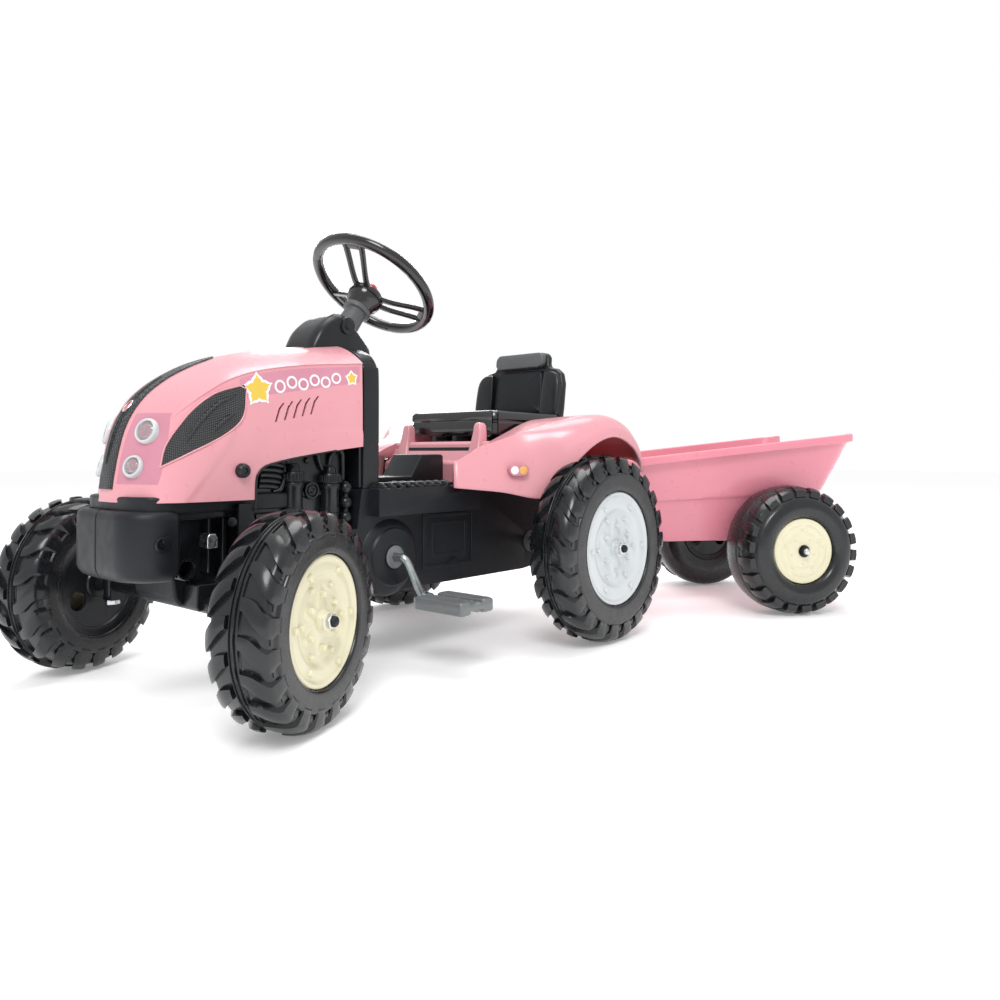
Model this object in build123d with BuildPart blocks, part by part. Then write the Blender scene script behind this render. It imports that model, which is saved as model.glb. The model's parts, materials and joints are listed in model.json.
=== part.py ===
from build123d import *
from math import atan2, cos, degrees, radians, sin, sqrt
import os

# Child's pedal tractor with a two-wheeled trailer on its hitch. Millimetres.
# The model is drawn in the tractor's frame: the origin is on the ground under the
# middle of the front axle, +Z is up, +X is the driver's left and the nose points
# to -Y. ROW_FRAME then moves every piece so that the origin is on the ground under
# the middle of the whole train.

# ---- driving dimensions: running gear ----
FRONT_WHEEL_R = 125
REAR_WHEEL_R = 156
WHEEL_W = 80
WHEELBASE = 622
FRONT_HALF_TRACK = 240
REAR_HALF_TRACK = 250
FRONT_RIM_R = 75
REAR_RIM_R = 94
RIM_RECESS = 4
KINGPIN_X = 185
KINGPIN_R = 6
STEER_DEG = 22.2
STEER_ARM = 45
STUB_R = 6
REAR_AXLE_R = 8
RUN_FIT = 0.05
GAP = 0.3

# ---- driving dimensions: body ----
CHASSIS_HALF_W = 98
CHASSIS_WALL = 4
BUMPER_R = 27
STEP_HALF_W = 120
STEP_Z = 262
RIDGE_H = 3.5
DECK_Z = 324
BONNET_HALF_W = 100
BONNET_WALL = 3
BONNET_BOTTOM = 254.5
STRIP_Z0 = 272
TRIM_T = 2.2
FENDER_HALF_W = 268
FENDER_WALL = 4
HINGE_Y, HINGE_Z = -80, 262
HINGE_PIN_R = 3

# ---- driving dimensions: steering column ----
RING_CENTRE = (0, 334.6, 586.7)
RING_TILT = 36.8
RING_R = 108.5
GRIP_R = 9
SHAFT_R = 6

# ---- driving dimensions: pedals ----
CRANK_Y, CRANK_Z = 283, 160
CRANK_RADIUS = 72
CRANK_ANGLE = -61
CRANK_R = 6
PEDAL_X0, PEDAL_X1 = 150, 245
PEDAL_DEPTH = 70
PEDAL_T = 20
CHAINWHEEL_R = 40
SPROCKET_R = 25
CHAIN_X = -22

# ---- driving dimensions: seat ----
SEAT_HALF_W = 108
SEAT_Y0, SEAT_Y1 = 520, 708
SEAT_Z = 345
SEAT_BACK_TOP = 512

# ---- driving dimensions: hitch and trailer ----
HITCH_Y = 830
HITCH_Z = 150
TRAILER_YAW = 36
EYE_T = 14
PIN_R = 6
TRAILER_WHEEL_R = 125
TRAILER_WHEEL_W = 96
TRAILER_HALF_TRACK = 192.5
TRAILER_RIM_R = 63
TRAILER_RIM_RECESS = 10
TRAILER_AXLE_Y = 429
TRAILER_AXLE_R = 6
TUB_WALL = 4
TUB_FLOOR_Z = 137
TUB_FRONT_Y, TUB_REAR_Y = 79, 604
TUB_FRONT_Z, TUB_REAR_Z = 300, 355
TUB_TOP_HALF_W, TUB_FLOOR_HALF_W = 156, 112
TUB_FLOOR_Y0, TUB_FLOOR_Y1 = 179, 440
TUB_LIP_Z = 272

# ---- frames that the pieces are drawn in ----
ROW_FRAME = Location((-99, -632, 0))
AT_HITCH = Location((0, HITCH_Y, 0), (0, 0, -TRAILER_YAW))
COLUMN = Plane(
    origin=RING_CENTRE,
    x_dir=(1, 0, 0),
    z_dir=(0, sin(radians(RING_TILT)), cos(radians(RING_TILT))),
)
X, Y, Z = Vector(1, 0, 0), Vector(0, 1, 0), Vector(0, 0, 1)

os.makedirs("parts", exist_ok=True)


def save(piece, label):
    """Name a finished piece, move it to the row's frame and write its STEP file."""
    piece.part.label = label
    placed = piece.part.moved(ROW_FRAME)
    placed.label = label
    export_step(placed, f"parts/{label}.step")


def on_trailer(plane):
    """A plane given in the trailer's frame, as it lies with the trailer turned."""
    return Plane(AT_HITCH * plane.location)


def wheel_frame(centre, outward):
    """A plane across a wheel: local x is up and local z points outward."""
    return Plane(origin=centre, x_dir=Z, z_dir=outward)


def section_plane(frame):
    """The plane through a wheel's axis: local x is the radius, local y the axis."""
    return Plane(frame.origin, x_dir=frame.x_dir, z_dir=frame.x_dir.cross(frame.z_dir))


def axis_of(frame):
    return Axis(frame.origin, frame.z_dir)


def mirrored(piece):
    """The same piece on the other side of the tractor."""
    with BuildPart() as other:
        add(piece.part.mirror(Plane.YZ))
    return other


def pair(piece):
    """One node that holds a piece and its mirror image."""
    with BuildPart() as both:
        add(piece.part)
        add(piece.part.mirror(Plane.YZ))
    return both


# ================= wheels =================


def tyre(frame, radius, width, bead_r, wall=5, web_r=14):
    """Hollow moulded tyre with the closed inner web that carries three holes."""
    half = width / 2
    crown, shoulder = 0.76 * half, 0.91 * radius
    with BuildPart() as ring:
        with BuildSketch(section_plane(frame)):
            with BuildLine():
                Polyline(
                    (bead_r, half - 3),
                    (bead_r + 8, half),
                    (shoulder, half),
                    (radius, crown),
                    (radius, -crown),
                    (shoulder, -half),
                    (bead_r + 8, -half),
                    (bead_r, -half + 3),
                    (bead_r, -half + 6),
                    (web_r, -half + 6),
                    (web_r, -half + 10),
                    (bead_r + wall, -half + 10),
                    (bead_r + wall, -half + wall),
                    (shoulder - 2, -half + wall),
                    (radius - wall, -crown + 1),
                    (radius - wall, crown - 1),
                    (shoulder - 2, half - wall),
                    (bead_r, half - wall - 3),
                    close=True,
                )
            make_face()
        revolve(axis=axis_of(frame))
        with BuildSketch(frame.offset(-half + 4)):
            with PolarLocations((web_r + bead_r) / 2, 3):
                Circle((bead_r - web_r) / 4)
        extrude(amount=8, mode=Mode.SUBTRACT)
    return ring


def rim(frame, width, bead_r, recess, bore_r, nubs=6):
    """Dished wheel cover with its hub tube, barrel and two rings of raised nubs."""
    face = width / 2 - recess
    inner = -width / 2 + 10 + GAP
    hub_r = bore_r + 9
    step_r = 0.62 * bead_r
    with BuildPart() as disc:
        with BuildSketch(section_plane(frame)):
            with BuildLine():
                Polyline(
                    (bore_r, inner),
                    (hub_r, inner),
                    (hub_r, face - 10),
                    (step_r, face - 10),
                    (step_r + 6, face - 4),
                    (bead_r - 5, face - 4),
                    (bead_r - 5, inner),
                    (bead_r - GAP / 2, inner),
                    (bead_r - GAP / 2, face - 2),
                    (bead_r - 4, face),
                    (step_r + 5, face),
                    (step_r, face - 5),
                    (hub_r + 4, face - 5),
                    (hub_r, face + 2),
                    (bore_r, face + 2),
                    close=True,
                )
            make_face()
        revolve(axis=axis_of(frame))
        with BuildSketch(frame.offset(face - 2)):
            with PolarLocations((step_r + bead_r) / 2, nubs):
                Circle(0.055 * bead_r)
        extrude(amount=5)
        with BuildSketch(frame.offset(face - 7)):
            with PolarLocations(0.42 * bead_r, nubs, start_angle=180 / nubs):
                Circle(0.05 * bead_r)
        extrude(amount=6)
    return disc


def cap_nut(frame, start, shaft_r):
    """Hexagon nut with a domed cap, screwed on the end of a shaft."""
    nut_h, cap_r = 7, shaft_r + 3
    with BuildPart() as nut:
        with BuildSketch(frame.offset(start)):
            RegularPolygon(shaft_r + 5, 6)
        extrude(amount=nut_h)
        with BuildSketch(frame.offset(start + nut_h)):
            Circle(cap_r)
        extrude(amount=6)
        fillet(nut.faces().sort_by(axis_of(frame))[-1].edges(), 3)
        with BuildSketch(frame.offset(start)):
            Circle(shaft_r + RUN_FIT)
        extrude(amount=nut_h + 1, mode=Mode.SUBTRACT)
    return nut


# ---- steered front wheels: kingpin, knuckle with its stub axle, wheel ----
steer = radians(STEER_DEG)
stub_len = FRONT_HALF_TRACK - KINGPIN_X
nut_start = WHEEL_W / 2 - RIM_RECESS + 2 + 2 * GAP
arm_z0, arm_z1 = FRONT_WHEEL_R - 5, FRONT_WHEEL_R + 1
tie_end_r = 4
arm_tip = Vector(-STEER_ARM * sin(steer), STEER_ARM * cos(steer), 0)

for side, name in ((1, "left"), (-1, "right")):
    pin = Vector(side * KINGPIN_X, 0, FRONT_WHEEL_R)
    outward = Vector(side * cos(steer), side * sin(steer), 0)
    frame = wheel_frame(pin + outward * stub_len, outward)
    save(tyre(frame, FRONT_WHEEL_R, WHEEL_W, FRONT_RIM_R), f"front_tyre_{name}")
    save(rim(frame, WHEEL_W, FRONT_RIM_R, RIM_RECESS, STUB_R + RUN_FIT), f"front_rim_{name}")
    save(cap_nut(frame, nut_start, STUB_R), f"front_cap_nut_{name}")
    barrel_r = KINGPIN_R + 5
    arm = pin + arm_tip
    with BuildPart() as knuckle:
        with BuildSketch(Plane.XY.offset(FRONT_WHEEL_R - 18)):
            with Locations((pin.X, pin.Y)):
                Circle(barrel_r)
        extrude(amount=36)
        with BuildSketch(Plane(origin=pin, x_dir=Z, z_dir=outward)):
            Circle(STUB_R)
        extrude(amount=stub_len + nut_start + 6)
        with BuildSketch(Plane(origin=pin, x_dir=Z, z_dir=outward).offset(barrel_r - 3)):
            Circle(STUB_R + 5)
        extrude(amount=stub_len - WHEEL_W / 2 + 10 - barrel_r + 3 - GAP)
        with BuildSketch(Plane.XY.offset(arm_z0)):
            with BuildLine():
                Polyline(
                    pin + outward * side * 5,
                    arm + outward * side * 5,
                    arm - outward * side * 5,
                    pin - outward * side * 5,
                    close=True,
                )
            make_face()
            with Locations((arm.X, arm.Y)):
                Circle(7)
        extrude(amount=arm_z1 - arm_z0)
        with BuildSketch(Plane.XY.offset(arm_z1)):
            with Locations((arm.X, arm.Y)):
                Circle(tie_end_r)
        extrude(amount=12)
        with BuildSketch(Plane.XY.offset(FRONT_WHEEL_R - 20)):
            with Locations((pin.X, pin.Y)):
                Circle(KINGPIN_R + RUN_FIT)
        extrude(amount=40, mode=Mode.SUBTRACT)
    save(knuckle, f"knuckle_{name}")

tie_y = arm_tip.Y
with BuildPart() as tie_rod:
    with BuildSketch(Plane.XY.offset(arm_z1 + GAP)):
        with Locations((KINGPIN_X + arm_tip.X, tie_y), (arm_tip.X - KINGPIN_X, tie_y)):
            Circle(8)
        with Locations((arm_tip.X, tie_y)):
            Rectangle(2 * KINGPIN_X, 9)
    extrude(amount=7)
    with BuildSketch(Plane.XY.offset(arm_z1)):
        with Locations((KINGPIN_X + arm_tip.X, tie_y)):
            Circle(tie_end_r + RUN_FIT)
        with Locations((arm_tip.X - KINGPIN_X, tie_y)):
            Circle(tie_end_r + GAP)
    extrude(amount=12, mode=Mode.SUBTRACT)
save(tie_rod, "tie_rod")

yoke_r = 12
with BuildPart() as front_axle_beam:
    with BuildSketch(Plane.YZ.offset(-KINGPIN_X + 17)):
        with Locations((0, FRONT_WHEEL_R)):
            Circle(11)
    extrude(amount=2 * (KINGPIN_X - 17))
    for side in (1, -1):
        for plate_z in (FRONT_WHEEL_R + 18 + GAP, FRONT_WHEEL_R - 22 - GAP):
            with BuildSketch(Plane.XY.offset(plate_z)):
                with Locations((side * KINGPIN_X, 0)):
                    Circle(yoke_r)
                with Locations((side * (KINGPIN_X - 10), 0)):
                    Rectangle(20, 20)
                with Locations((side * KINGPIN_X, 0)):
                    Circle(KINGPIN_R, mode=Mode.SUBTRACT)
            extrude(amount=4)
        with BuildSketch(Plane.YZ.offset(side * (KINGPIN_X - 18) - 2)):
            with Locations((0, FRONT_WHEEL_R)):
                Rectangle(20, 44 + 2 * GAP)
        extrude(amount=4)
save(front_axle_beam, "front_axle_beam")

with BuildPart() as kingpin:
    with BuildSketch(Plane.XY.offset(FRONT_WHEEL_R - 30)):
        with Locations((KINGPIN_X, 0)):
            Circle(KINGPIN_R)
    extrude(amount=58)
    for head_z in (FRONT_WHEEL_R - 30, FRONT_WHEEL_R + 22 + GAP):
        with BuildSketch(Plane.XY.offset(head_z)):
            with Locations((KINGPIN_X, 0)):
                RegularPolygon(KINGPIN_R + 5, 6)
        extrude(amount=7)
save(pair(kingpin), "kingpins")

# ---- rear wheels on one live axle: the right wheel is driven, the left one is free ----
rear_nut_start = REAR_HALF_TRACK + nut_start
for side, name in ((1, "left"), (-1, "right")):
    centre = Vector(side * REAR_HALF_TRACK, WHEELBASE, REAR_WHEEL_R)
    frame = wheel_frame(centre, Vector(side, 0, 0))
    save(tyre(frame, REAR_WHEEL_R, WHEEL_W, REAR_RIM_R), f"rear_tyre_{name}")
    save(rim(frame, WHEEL_W, REAR_RIM_R, RIM_RECESS, REAR_AXLE_R + RUN_FIT), f"rear_rim_{name}")

with BuildPart() as rear_axle:
    with BuildSketch(Plane.YZ.offset(-rear_nut_start - 6)):
        with Locations((WHEELBASE, REAR_WHEEL_R)):
            Circle(REAR_AXLE_R)
    extrude(amount=2 * (rear_nut_start + 6))
save(rear_axle, "rear_axle")

rear_end = wheel_frame((0, WHEELBASE, REAR_WHEEL_R), (1, 0, 0))
save(pair(cap_nut(rear_end, rear_nut_start, REAR_AXLE_R)), "rear_cap_nuts")

# ================= pedals and chain drive =================


def disc_at(y, z, radius, bore, thickness, x_mid):
    """A flat wheel on a cross shaft."""
    with BuildPart() as disc:
        with BuildSketch(Plane.YZ.offset(x_mid - thickness / 2)):
            with Locations((y, z)):
                Circle(radius)
                Circle(bore, mode=Mode.SUBTRACT)
        extrude(amount=thickness)
    return disc


save(disc_at(WHEELBASE, REAR_WHEEL_R, SPROCKET_R, REAR_AXLE_R + RUN_FIT, 4, CHAIN_X), "rear_sprocket")
save(disc_at(CRANK_Y, CRANK_Z, CHAINWHEEL_R, CRANK_R + RUN_FIT, 4, CHAIN_X), "chainwheel")

run_y, run_z = WHEELBASE - CRANK_Y, REAR_WHEEL_R - CRANK_Z
run_len = sqrt(run_y**2 + run_z**2)
run_deg = degrees(atan2(run_z, run_y))


def chain_outline(grow):
    """The outline of a belt round both sprockets, as a sketch with the run along x."""
    big, small = CHAINWHEEL_R + grow, SPROCKET_R + grow
    lean = degrees(atan2(sqrt(run_len**2 - (big - small) ** 2), big - small))
    with BuildSketch(mode=Mode.PRIVATE) as loop:
        Circle(big)
        with Locations((run_len, 0)):
            Circle(small)
        with BuildLine():
            Polyline(
                (big * cos(radians(lean)), big * sin(radians(lean))),
                (run_len + small * cos(radians(lean)), small * sin(radians(lean))),
                (run_len + small * cos(radians(lean)), -small * sin(radians(lean))),
                (big * cos(radians(lean)), -big * sin(radians(lean))),
                close=True,
            )
        make_face()
    return loop.sketch


chain_plane = Plane(
    origin=(CHAIN_X - 4, CRANK_Y, CRANK_Z),
    x_dir=(0, cos(radians(run_deg)), sin(radians(run_deg))),
    z_dir=X,
)
with BuildPart() as drive_chain:
    with BuildSketch(chain_plane):
        add(chain_outline(7))
        add(chain_outline(0.6), mode=Mode.SUBTRACT)
    extrude(amount=8)
save(drive_chain, "drive_chain")

crank = radians(CRANK_ANGLE)
crank_dir = Vector(0, cos(crank), sin(crank))
crank_mid = Vector(0, CRANK_Y, CRANK_Z)
boss_r, boss_x = 53, CHASSIS_HALF_W + 14
arm_x = boss_x + 22


def crank_throw(side):
    """One bent arm of the crank rod and the pedal's spindle at its end."""
    centre = crank_mid + crank_dir * (side * CRANK_RADIUS)
    bend = crank_mid + crank_dir * (side * 16)
    with BuildPart() as throw:
        with BuildLine() as path:
            Line(crank_mid + X * (side * (boss_x - 12)), crank_mid + X * (side * (arm_x - 12)))
            Spline(
                crank_mid + X * (side * (arm_x - 12)),
                bend + X * (side * arm_x),
                tangents=(X * side, crank_dir * side),
            )
            Line(bend + X * (side * arm_x), centre + X * (side * arm_x))
        start = Plane(origin=crank_mid + X * (side * (boss_x - 12)), x_dir=Y, z_dir=X * side)
        with BuildSketch(start):
            Circle(CRANK_R)
        sweep(path=path.wires()[0])
        with BuildSketch(Plane(origin=centre + X * (side * (arm_x - 9)), x_dir=Y, z_dir=X * side)):
            Circle(CRANK_R + 4)
        extrude(amount=PEDAL_X0 - GAP - arm_x + 9)
        with BuildSketch(Plane(origin=centre + X * (side * (arm_x - 4)), x_dir=Y, z_dir=X * side)):
            Circle(CRANK_R)
        extrude(amount=PEDAL_X1 - 4 - arm_x + 4)
    return throw


with BuildPart() as crankshaft:
    with BuildSketch(Plane.YZ.offset(-boss_x)):
        with Locations((CRANK_Y, CRANK_Z)):
            Circle(CRANK_R)
    extrude(amount=2 * boss_x)
    for side in (1, -1):
        add(crank_throw(side).part)
save(crankshaft, "crankshaft")

for side, name in ((1, "left"), (-1, "right")):
    centre = crank_mid + crank_dir * (side * CRANK_RADIUS)
    with BuildPart() as pedal:
        with BuildSketch(Plane.YZ.offset(side * PEDAL_X0)):
            with Locations((centre.Y, centre.Z)):
                RectangleRounded(PEDAL_DEPTH, PEDAL_T, 5)
        extrude(amount=side * (PEDAL_X1 - PEDAL_X0))
        for slot in (-1, 1):
            with BuildSketch(Plane.XY.offset(centre.Z - PEDAL_T)):
                with Locations((side * (PEDAL_X0 + PEDAL_X1) / 2, centre.Y + slot * PEDAL_DEPTH * 0.3)):
                    Rectangle(PEDAL_X1 - PEDAL_X0 - 24, PEDAL_DEPTH * 0.18)
            extrude(amount=PEDAL_T * 1.2, mode=Mode.SUBTRACT)
        with BuildSketch(Plane.YZ.offset(side * (PEDAL_X0 - 1))):
            with Locations((centre.Y, centre.Z)):
                Circle(CRANK_R + RUN_FIT)
        extrude(amount=side * (PEDAL_X1 - PEDAL_X0 - 2), mode=Mode.SUBTRACT)
    save(pedal, f"pedal_{name}")

# ================= chassis =================
cradle_front, cradle_rear, cradle_z = -35, 28, 110
chassis_outline = [
    (-105, 178),
    (-105, 238),
    (-98, 246),
    (-58, 246),
    (-54, 250),
    (50, 250),
    (56, 205),
    (222, 205),
    (230, STEP_Z),
    (464, STEP_Z),
    (486, DECK_Z),
    (740, DECK_Z - 22),
    (746, 250),
    (746, 128),
    (700, 118),
    (600, 108),
    (250, 108),
    (212, 150),
    (cradle_rear + 18, 158),
    (cradle_rear, 150),
    (cradle_rear, cradle_z),
    (cradle_front, cradle_z),
    (-45, 163),
    (-92, 166),
]
column_hole_r = SHAFT_R + 3
drop_window = 44
lug_x, lug_t, ear_t = 9, 8, 4
with BuildPart() as hull_cavity:
    with BuildSketch(Plane.YZ):
        with BuildLine():
            Polyline(*chassis_outline, close=True)
        make_face()
        offset(amount=-CHASSIS_WALL, kind=Kind.INTERSECTION)
    extrude(amount=CHASSIS_HALF_W - CHASSIS_WALL)
    nose_edges = hull_cavity.edges().filter_by(Axis.Z).filter_by_position(Axis.Y, -103, -100)
    fillet(nose_edges.sort_by(Axis.X)[-1:], BUMPER_R - CHASSIS_WALL)

with BuildPart() as chassis_left:
    with BuildSketch(Plane.YZ):
        with BuildLine():
            Polyline(*chassis_outline, close=True)
        make_face()
    extrude(amount=CHASSIS_HALF_W)
    nose_edges = chassis_left.edges().filter_by(Axis.Z).filter_by_position(Axis.Y, -106, -104)
    fillet(nose_edges.sort_by(Axis.X)[-1:], BUMPER_R)
    with BuildSketch(Plane.YZ.offset(CHASSIS_HALF_W - 6)):
        with Locations(((244 + 462) / 2, STEP_Z - 20)):
            Rectangle(462 - 244, 40)
    extrude(amount=STEP_HALF_W - CHASSIS_HALF_W + 6)
    with BuildSketch(Plane.YZ.offset(CHASSIS_HALF_W - 4)):
        with Locations((CRANK_Y, CRANK_Z)):
            Circle(boss_r)
    extrude(amount=boss_x - CHASSIS_HALF_W + 4 - 2, taper=35)
    add(hull_cavity.part, mode=Mode.SUBTRACT)
    with BuildSketch(Plane.XY.offset(STEP_Z)):
        for ridge_y in range(254, 390, 19):
            with Locations((104, ridge_y)):
                Rectangle(28, 8, rotation=18)
        for ridge_y in range(318, 456, 19):
            with Locations((66, ridge_y)):
                Rectangle(44, 8, rotation=-18)
    extrude(amount=RIDGE_H)
    with BuildSketch(Plane.YZ):
        with Locations((CRANK_Y, CRANK_Z)):
            Circle(CRANK_R + 6)
        with Locations((WHEELBASE, REAR_WHEEL_R)):
            Circle(REAR_AXLE_R + 6)
        with Locations((0, FRONT_WHEEL_R)):
            Circle(11 + RUN_FIT)
    extrude(amount=STEP_HALF_W + 20, mode=Mode.SUBTRACT)
    with BuildSketch(COLUMN.offset(-600)):
        Circle(column_hole_r)
    extrude(amount=600, mode=Mode.SUBTRACT)
    with BuildSketch(Plane.XY.offset(cradle_z + 12)):
        with Locations((0, cradle_rear + 2)):
            Rectangle(2 * drop_window, 44)
    extrude(amount=48, mode=Mode.SUBTRACT)
    for ear_x in (lug_x - 2 - ear_t, lug_x + lug_t + 2):
        with BuildSketch(Plane.YZ.offset(ear_x)):
            with BuildLine():
                Polyline(
                    (HINGE_Y + 7, 244),
                    (HINGE_Y - 4, HINGE_Z - 1.2),
                    (HINGE_Y - 4, HINGE_Z + 5),
                    (HINGE_Y + 5, HINGE_Z + 5),
                    (HINGE_Y + 16, 244),
                    close=True,
                )
            make_face()
            with Locations((HINGE_Y, HINGE_Z)):
                Circle(HINGE_PIN_R, mode=Mode.SUBTRACT)
        extrude(amount=ear_t)
save(chassis_left, "chassis_left")
save(mirrored(chassis_left), "chassis_right")

with BuildPart() as bonnet_hinge_pin:
    with BuildSketch(Plane.YZ.offset(lug_x - 3 - ear_t)):
        with Locations((HINGE_Y, HINGE_Z)):
            Circle(HINGE_PIN_R)
    extrude(amount=lug_t + 2 * ear_t + 6)
save(pair(bonnet_hinge_pin), "bonnet_hinge_pins")

screw_places = [(-64, 211), (20, 228), (140, 178), (420, 140), (520, 290), (700, 150)]
with BuildPart() as chassis_screws:
    with BuildSketch(Plane.YZ.offset(CHASSIS_HALF_W)):
        with Locations(*screw_places):
            Circle(6)
    extrude(amount=2)

bush_flange = 2
with BuildPart() as axle_bush:
    for y, z, shaft_r, face in (
        (CRANK_Y, CRANK_Z, CRANK_R, boss_x - 2),
        (WHEELBASE, REAR_WHEEL_R, REAR_AXLE_R, CHASSIS_HALF_W),
    ):
        with BuildSketch(Plane.YZ.offset(CHASSIS_HALF_W - 6)):
            with Locations((y, z)):
                Circle(shaft_r + 6)
                Circle(shaft_r + RUN_FIT, mode=Mode.SUBTRACT)
        extrude(amount=face - CHASSIS_HALF_W + 6)
        with BuildSketch(Plane.YZ.offset(face)):
            with Locations((y, z)):
                Circle(shaft_r + 11)
                Circle(shaft_r + RUN_FIT, mode=Mode.SUBTRACT)
        extrude(amount=bush_flange)
save(pair(axle_bush), "axle_bushes")

# ---- engine relief between the bonnet and the chassis ----
engine_half_w = 74
with BuildPart() as engine_block:
    with BuildSketch(Plane.YZ.offset(-engine_half_w)):
        with BuildLine():
            Polyline((62, 205), (62, 330), (80, 372), (216, 400), (216, 205), close=True)
        make_face()
    extrude(amount=2 * engine_half_w)
    with BuildSketch(Plane.YZ.offset(-engine_half_w + CHASSIS_WALL)):
        with BuildLine():
            Polyline((66, 200), (66, 327), (84, 368), (212, 395), (212, 200), close=True)
        make_face()
    extrude(amount=2 * (engine_half_w - CHASSIS_WALL), mode=Mode.SUBTRACT)
    with BuildSketch(COLUMN.offset(-500)):
        Circle(column_hole_r)
    extrude(amount=500, mode=Mode.SUBTRACT)
save(engine_block, "engine_block")

with BuildPart() as engine_canister:
    for y, z0 in ((124, 216), (186, 212)):
        with BuildSketch(Plane.XY.offset(z0)):
            with Locations((engine_half_w + 6, y)):
                Circle(13)
        extrude(amount=62)
        with BuildSketch(Plane.XY.offset(z0 + 62)):
            with Locations((engine_half_w + 6, y)):
                Circle(15.5)
        extrude(amount=10)
        with BuildSketch(Plane.XY.offset(z0 + 72)):
            with Locations((engine_half_w + 6, y)):
                Circle(8)
        extrude(amount=12)
    add(engine_block.part, mode=Mode.SUBTRACT)
save(pair(engine_canister), "engine_canisters")

with BuildPart() as engine_fitting:
    with BuildSketch(Plane.YZ.offset(engine_half_w)):
        with Locations((155, 262)):
            Circle(11)
        with Locations((78, 262)):
            Rectangle(22, 10)
        with Locations((78, 290)):
            Rectangle(22, 10)
    extrude(amount=8)
    for ball_z in (222, 245, 268):
        with Locations((engine_half_w + 9, 211, ball_z)):
            Sphere(9)
    with BuildSketch(Plane.XY.offset(222)):
        with Locations((engine_half_w + 9, 211)):
            Circle(4)
    extrude(amount=46)
    with BuildSketch(Plane.YZ.offset(engine_half_w)):
        with Locations((211, 245)):
            Rectangle(8, 40)
    extrude(amount=9)
save(pair(engine_fitting), "engine_fittings")

# ---- dash tower that carries the steering column ----
face_run = 66
face_top = Vector(0, 247, 527)
face_low = face_top + Vector(0, cos(radians(RING_TILT)), -sin(radians(RING_TILT))) * face_run
post_rear = 270
hump_half_w, post_half_w = 40, 88
post_outline = [(232, STEP_Z), (232, 470), (240, 478), (262, 470), (post_rear, 440), (post_rear, STEP_Z)]
hump_outline = [
    (186, 436),
    (186, 474),
    (204, 506),
    (224, 522),
    (face_top.Y, face_top.Z),
    (face_low.Y, face_low.Z),
    (post_rear - 3, 400),
    (234, 400),
    (232, 436),
]
with BuildPart() as dash_tower:
    for outline, half_w in ((post_outline, post_half_w), (hump_outline, hump_half_w)):
        with BuildSketch(Plane.YZ.offset(-half_w)):
            with BuildLine():
                Polyline(*outline, close=True)
            make_face()
        extrude(amount=2 * half_w)
    fillet(dash_tower.edges().filter_by(Axis.X).filter_by_position(Axis.Z, 500, 560), 8)
    with BuildSketch(Plane.YZ.offset(-post_half_w + CHASSIS_WALL)):
        with BuildLine():
            Polyline((237, 250), (237, 462), (258, 462), (post_rear - 5, 438), (post_rear - 5, 250), close=True)
        make_face()
    extrude(amount=2 * (post_half_w - CHASSIS_WALL), mode=Mode.SUBTRACT)
    with BuildSketch(COLUMN.offset(-600)):
        Circle(column_hole_r)
    extrude(amount=600, mode=Mode.SUBTRACT)
    with BuildSketch(COLUMN.offset(-118)):
        Circle(SHAFT_R + 8)
    extrude(amount=60, mode=Mode.SUBTRACT)
save(dash_tower, "dash_tower")

column_face = -99.7
with BuildPart() as column_bush:
    with BuildSketch(COLUMN.offset(-118)):
        Circle(SHAFT_R + 8)
        Circle(SHAFT_R + RUN_FIT, mode=Mode.SUBTRACT)
    extrude(amount=column_face + 118)
save(column_bush, "column_bush")

with BuildPart() as body_screws:
    add(chassis_screws.part)
    with BuildSketch(Plane.YZ.offset(hump_half_w)):
        with Locations((248, 505)):
            Circle(11)
    extrude(amount=3)
    with BuildSketch(Plane.YZ.offset(hump_half_w + 3)):
        with Locations((248, 505)):
            RegularPolygon(4, 6)
    extrude(amount=2)
save(pair(body_screws), "body_screws")

# ---- block on the tunnel between the footplates, with a U-shaped dip ----
tunnel_y0, tunnel_y1 = post_rear + GAP, 462
tunnel_top, tunnel_dip = 312, 276
tunnel_half_w = 36
with BuildPart() as centre_tunnel:
    with BuildSketch(Plane.YZ.offset(-tunnel_half_w)):
        with BuildLine():
            Polyline(
                (tunnel_y0, STEP_Z),
                (tunnel_y0, tunnel_top - 6),
                (tunnel_y0 + 14, tunnel_dip + 8),
                (tunnel_y0 + 26, tunnel_dip),
                (tunnel_y1 - 76, tunnel_dip),
                (tunnel_y1 - 52, tunnel_top),
                (tunnel_y1 - 4, tunnel_top),
                (tunnel_y1, tunnel_top - 4),
                (tunnel_y1, STEP_Z),
                close=True,
            )
        make_face()
    extrude(amount=2 * tunnel_half_w)
    with BuildSketch(Plane.YZ.offset(-tunnel_half_w + CHASSIS_WALL)):
        with BuildLine():
            Polyline(
                (tunnel_y1 - 66, STEP_Z),
                (tunnel_y1 - 48, tunnel_top - 5),
                (tunnel_y1 - 5, tunnel_top - 5),
                (tunnel_y1 - 5, STEP_Z),
                close=True,
            )
        make_face()
    extrude(amount=2 * (tunnel_half_w - CHASSIS_WALL), mode=Mode.SUBTRACT)
save(centre_tunnel, "centre_tunnel")

# ================= bonnet =================
# Stations along the bonnet: Y, half-width at the foot, half-width at the crease,
# crease height and crown height.
BONNET_STATIONS = [
    (-93.5, 17, 14, 268, 274),
    (-90, 26, 15, 290, 301),
    (-84, 41, 24, 306, 326),
    (-78, 56, 34, 321, 345),
    (-68, 80, 50, 337, 365),
    (-54, 88, 68, 350, 384),
    (-39, 93, 84, 367, 398),
    (-15, 98, 94, 388, 415),
    (20, 100, 98, 409, 433),
    (60, 100, 100, 422, 447),
    (130, 100, 100, 434, 463),
    (228, 100, 100, 444, 478),
]


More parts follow.
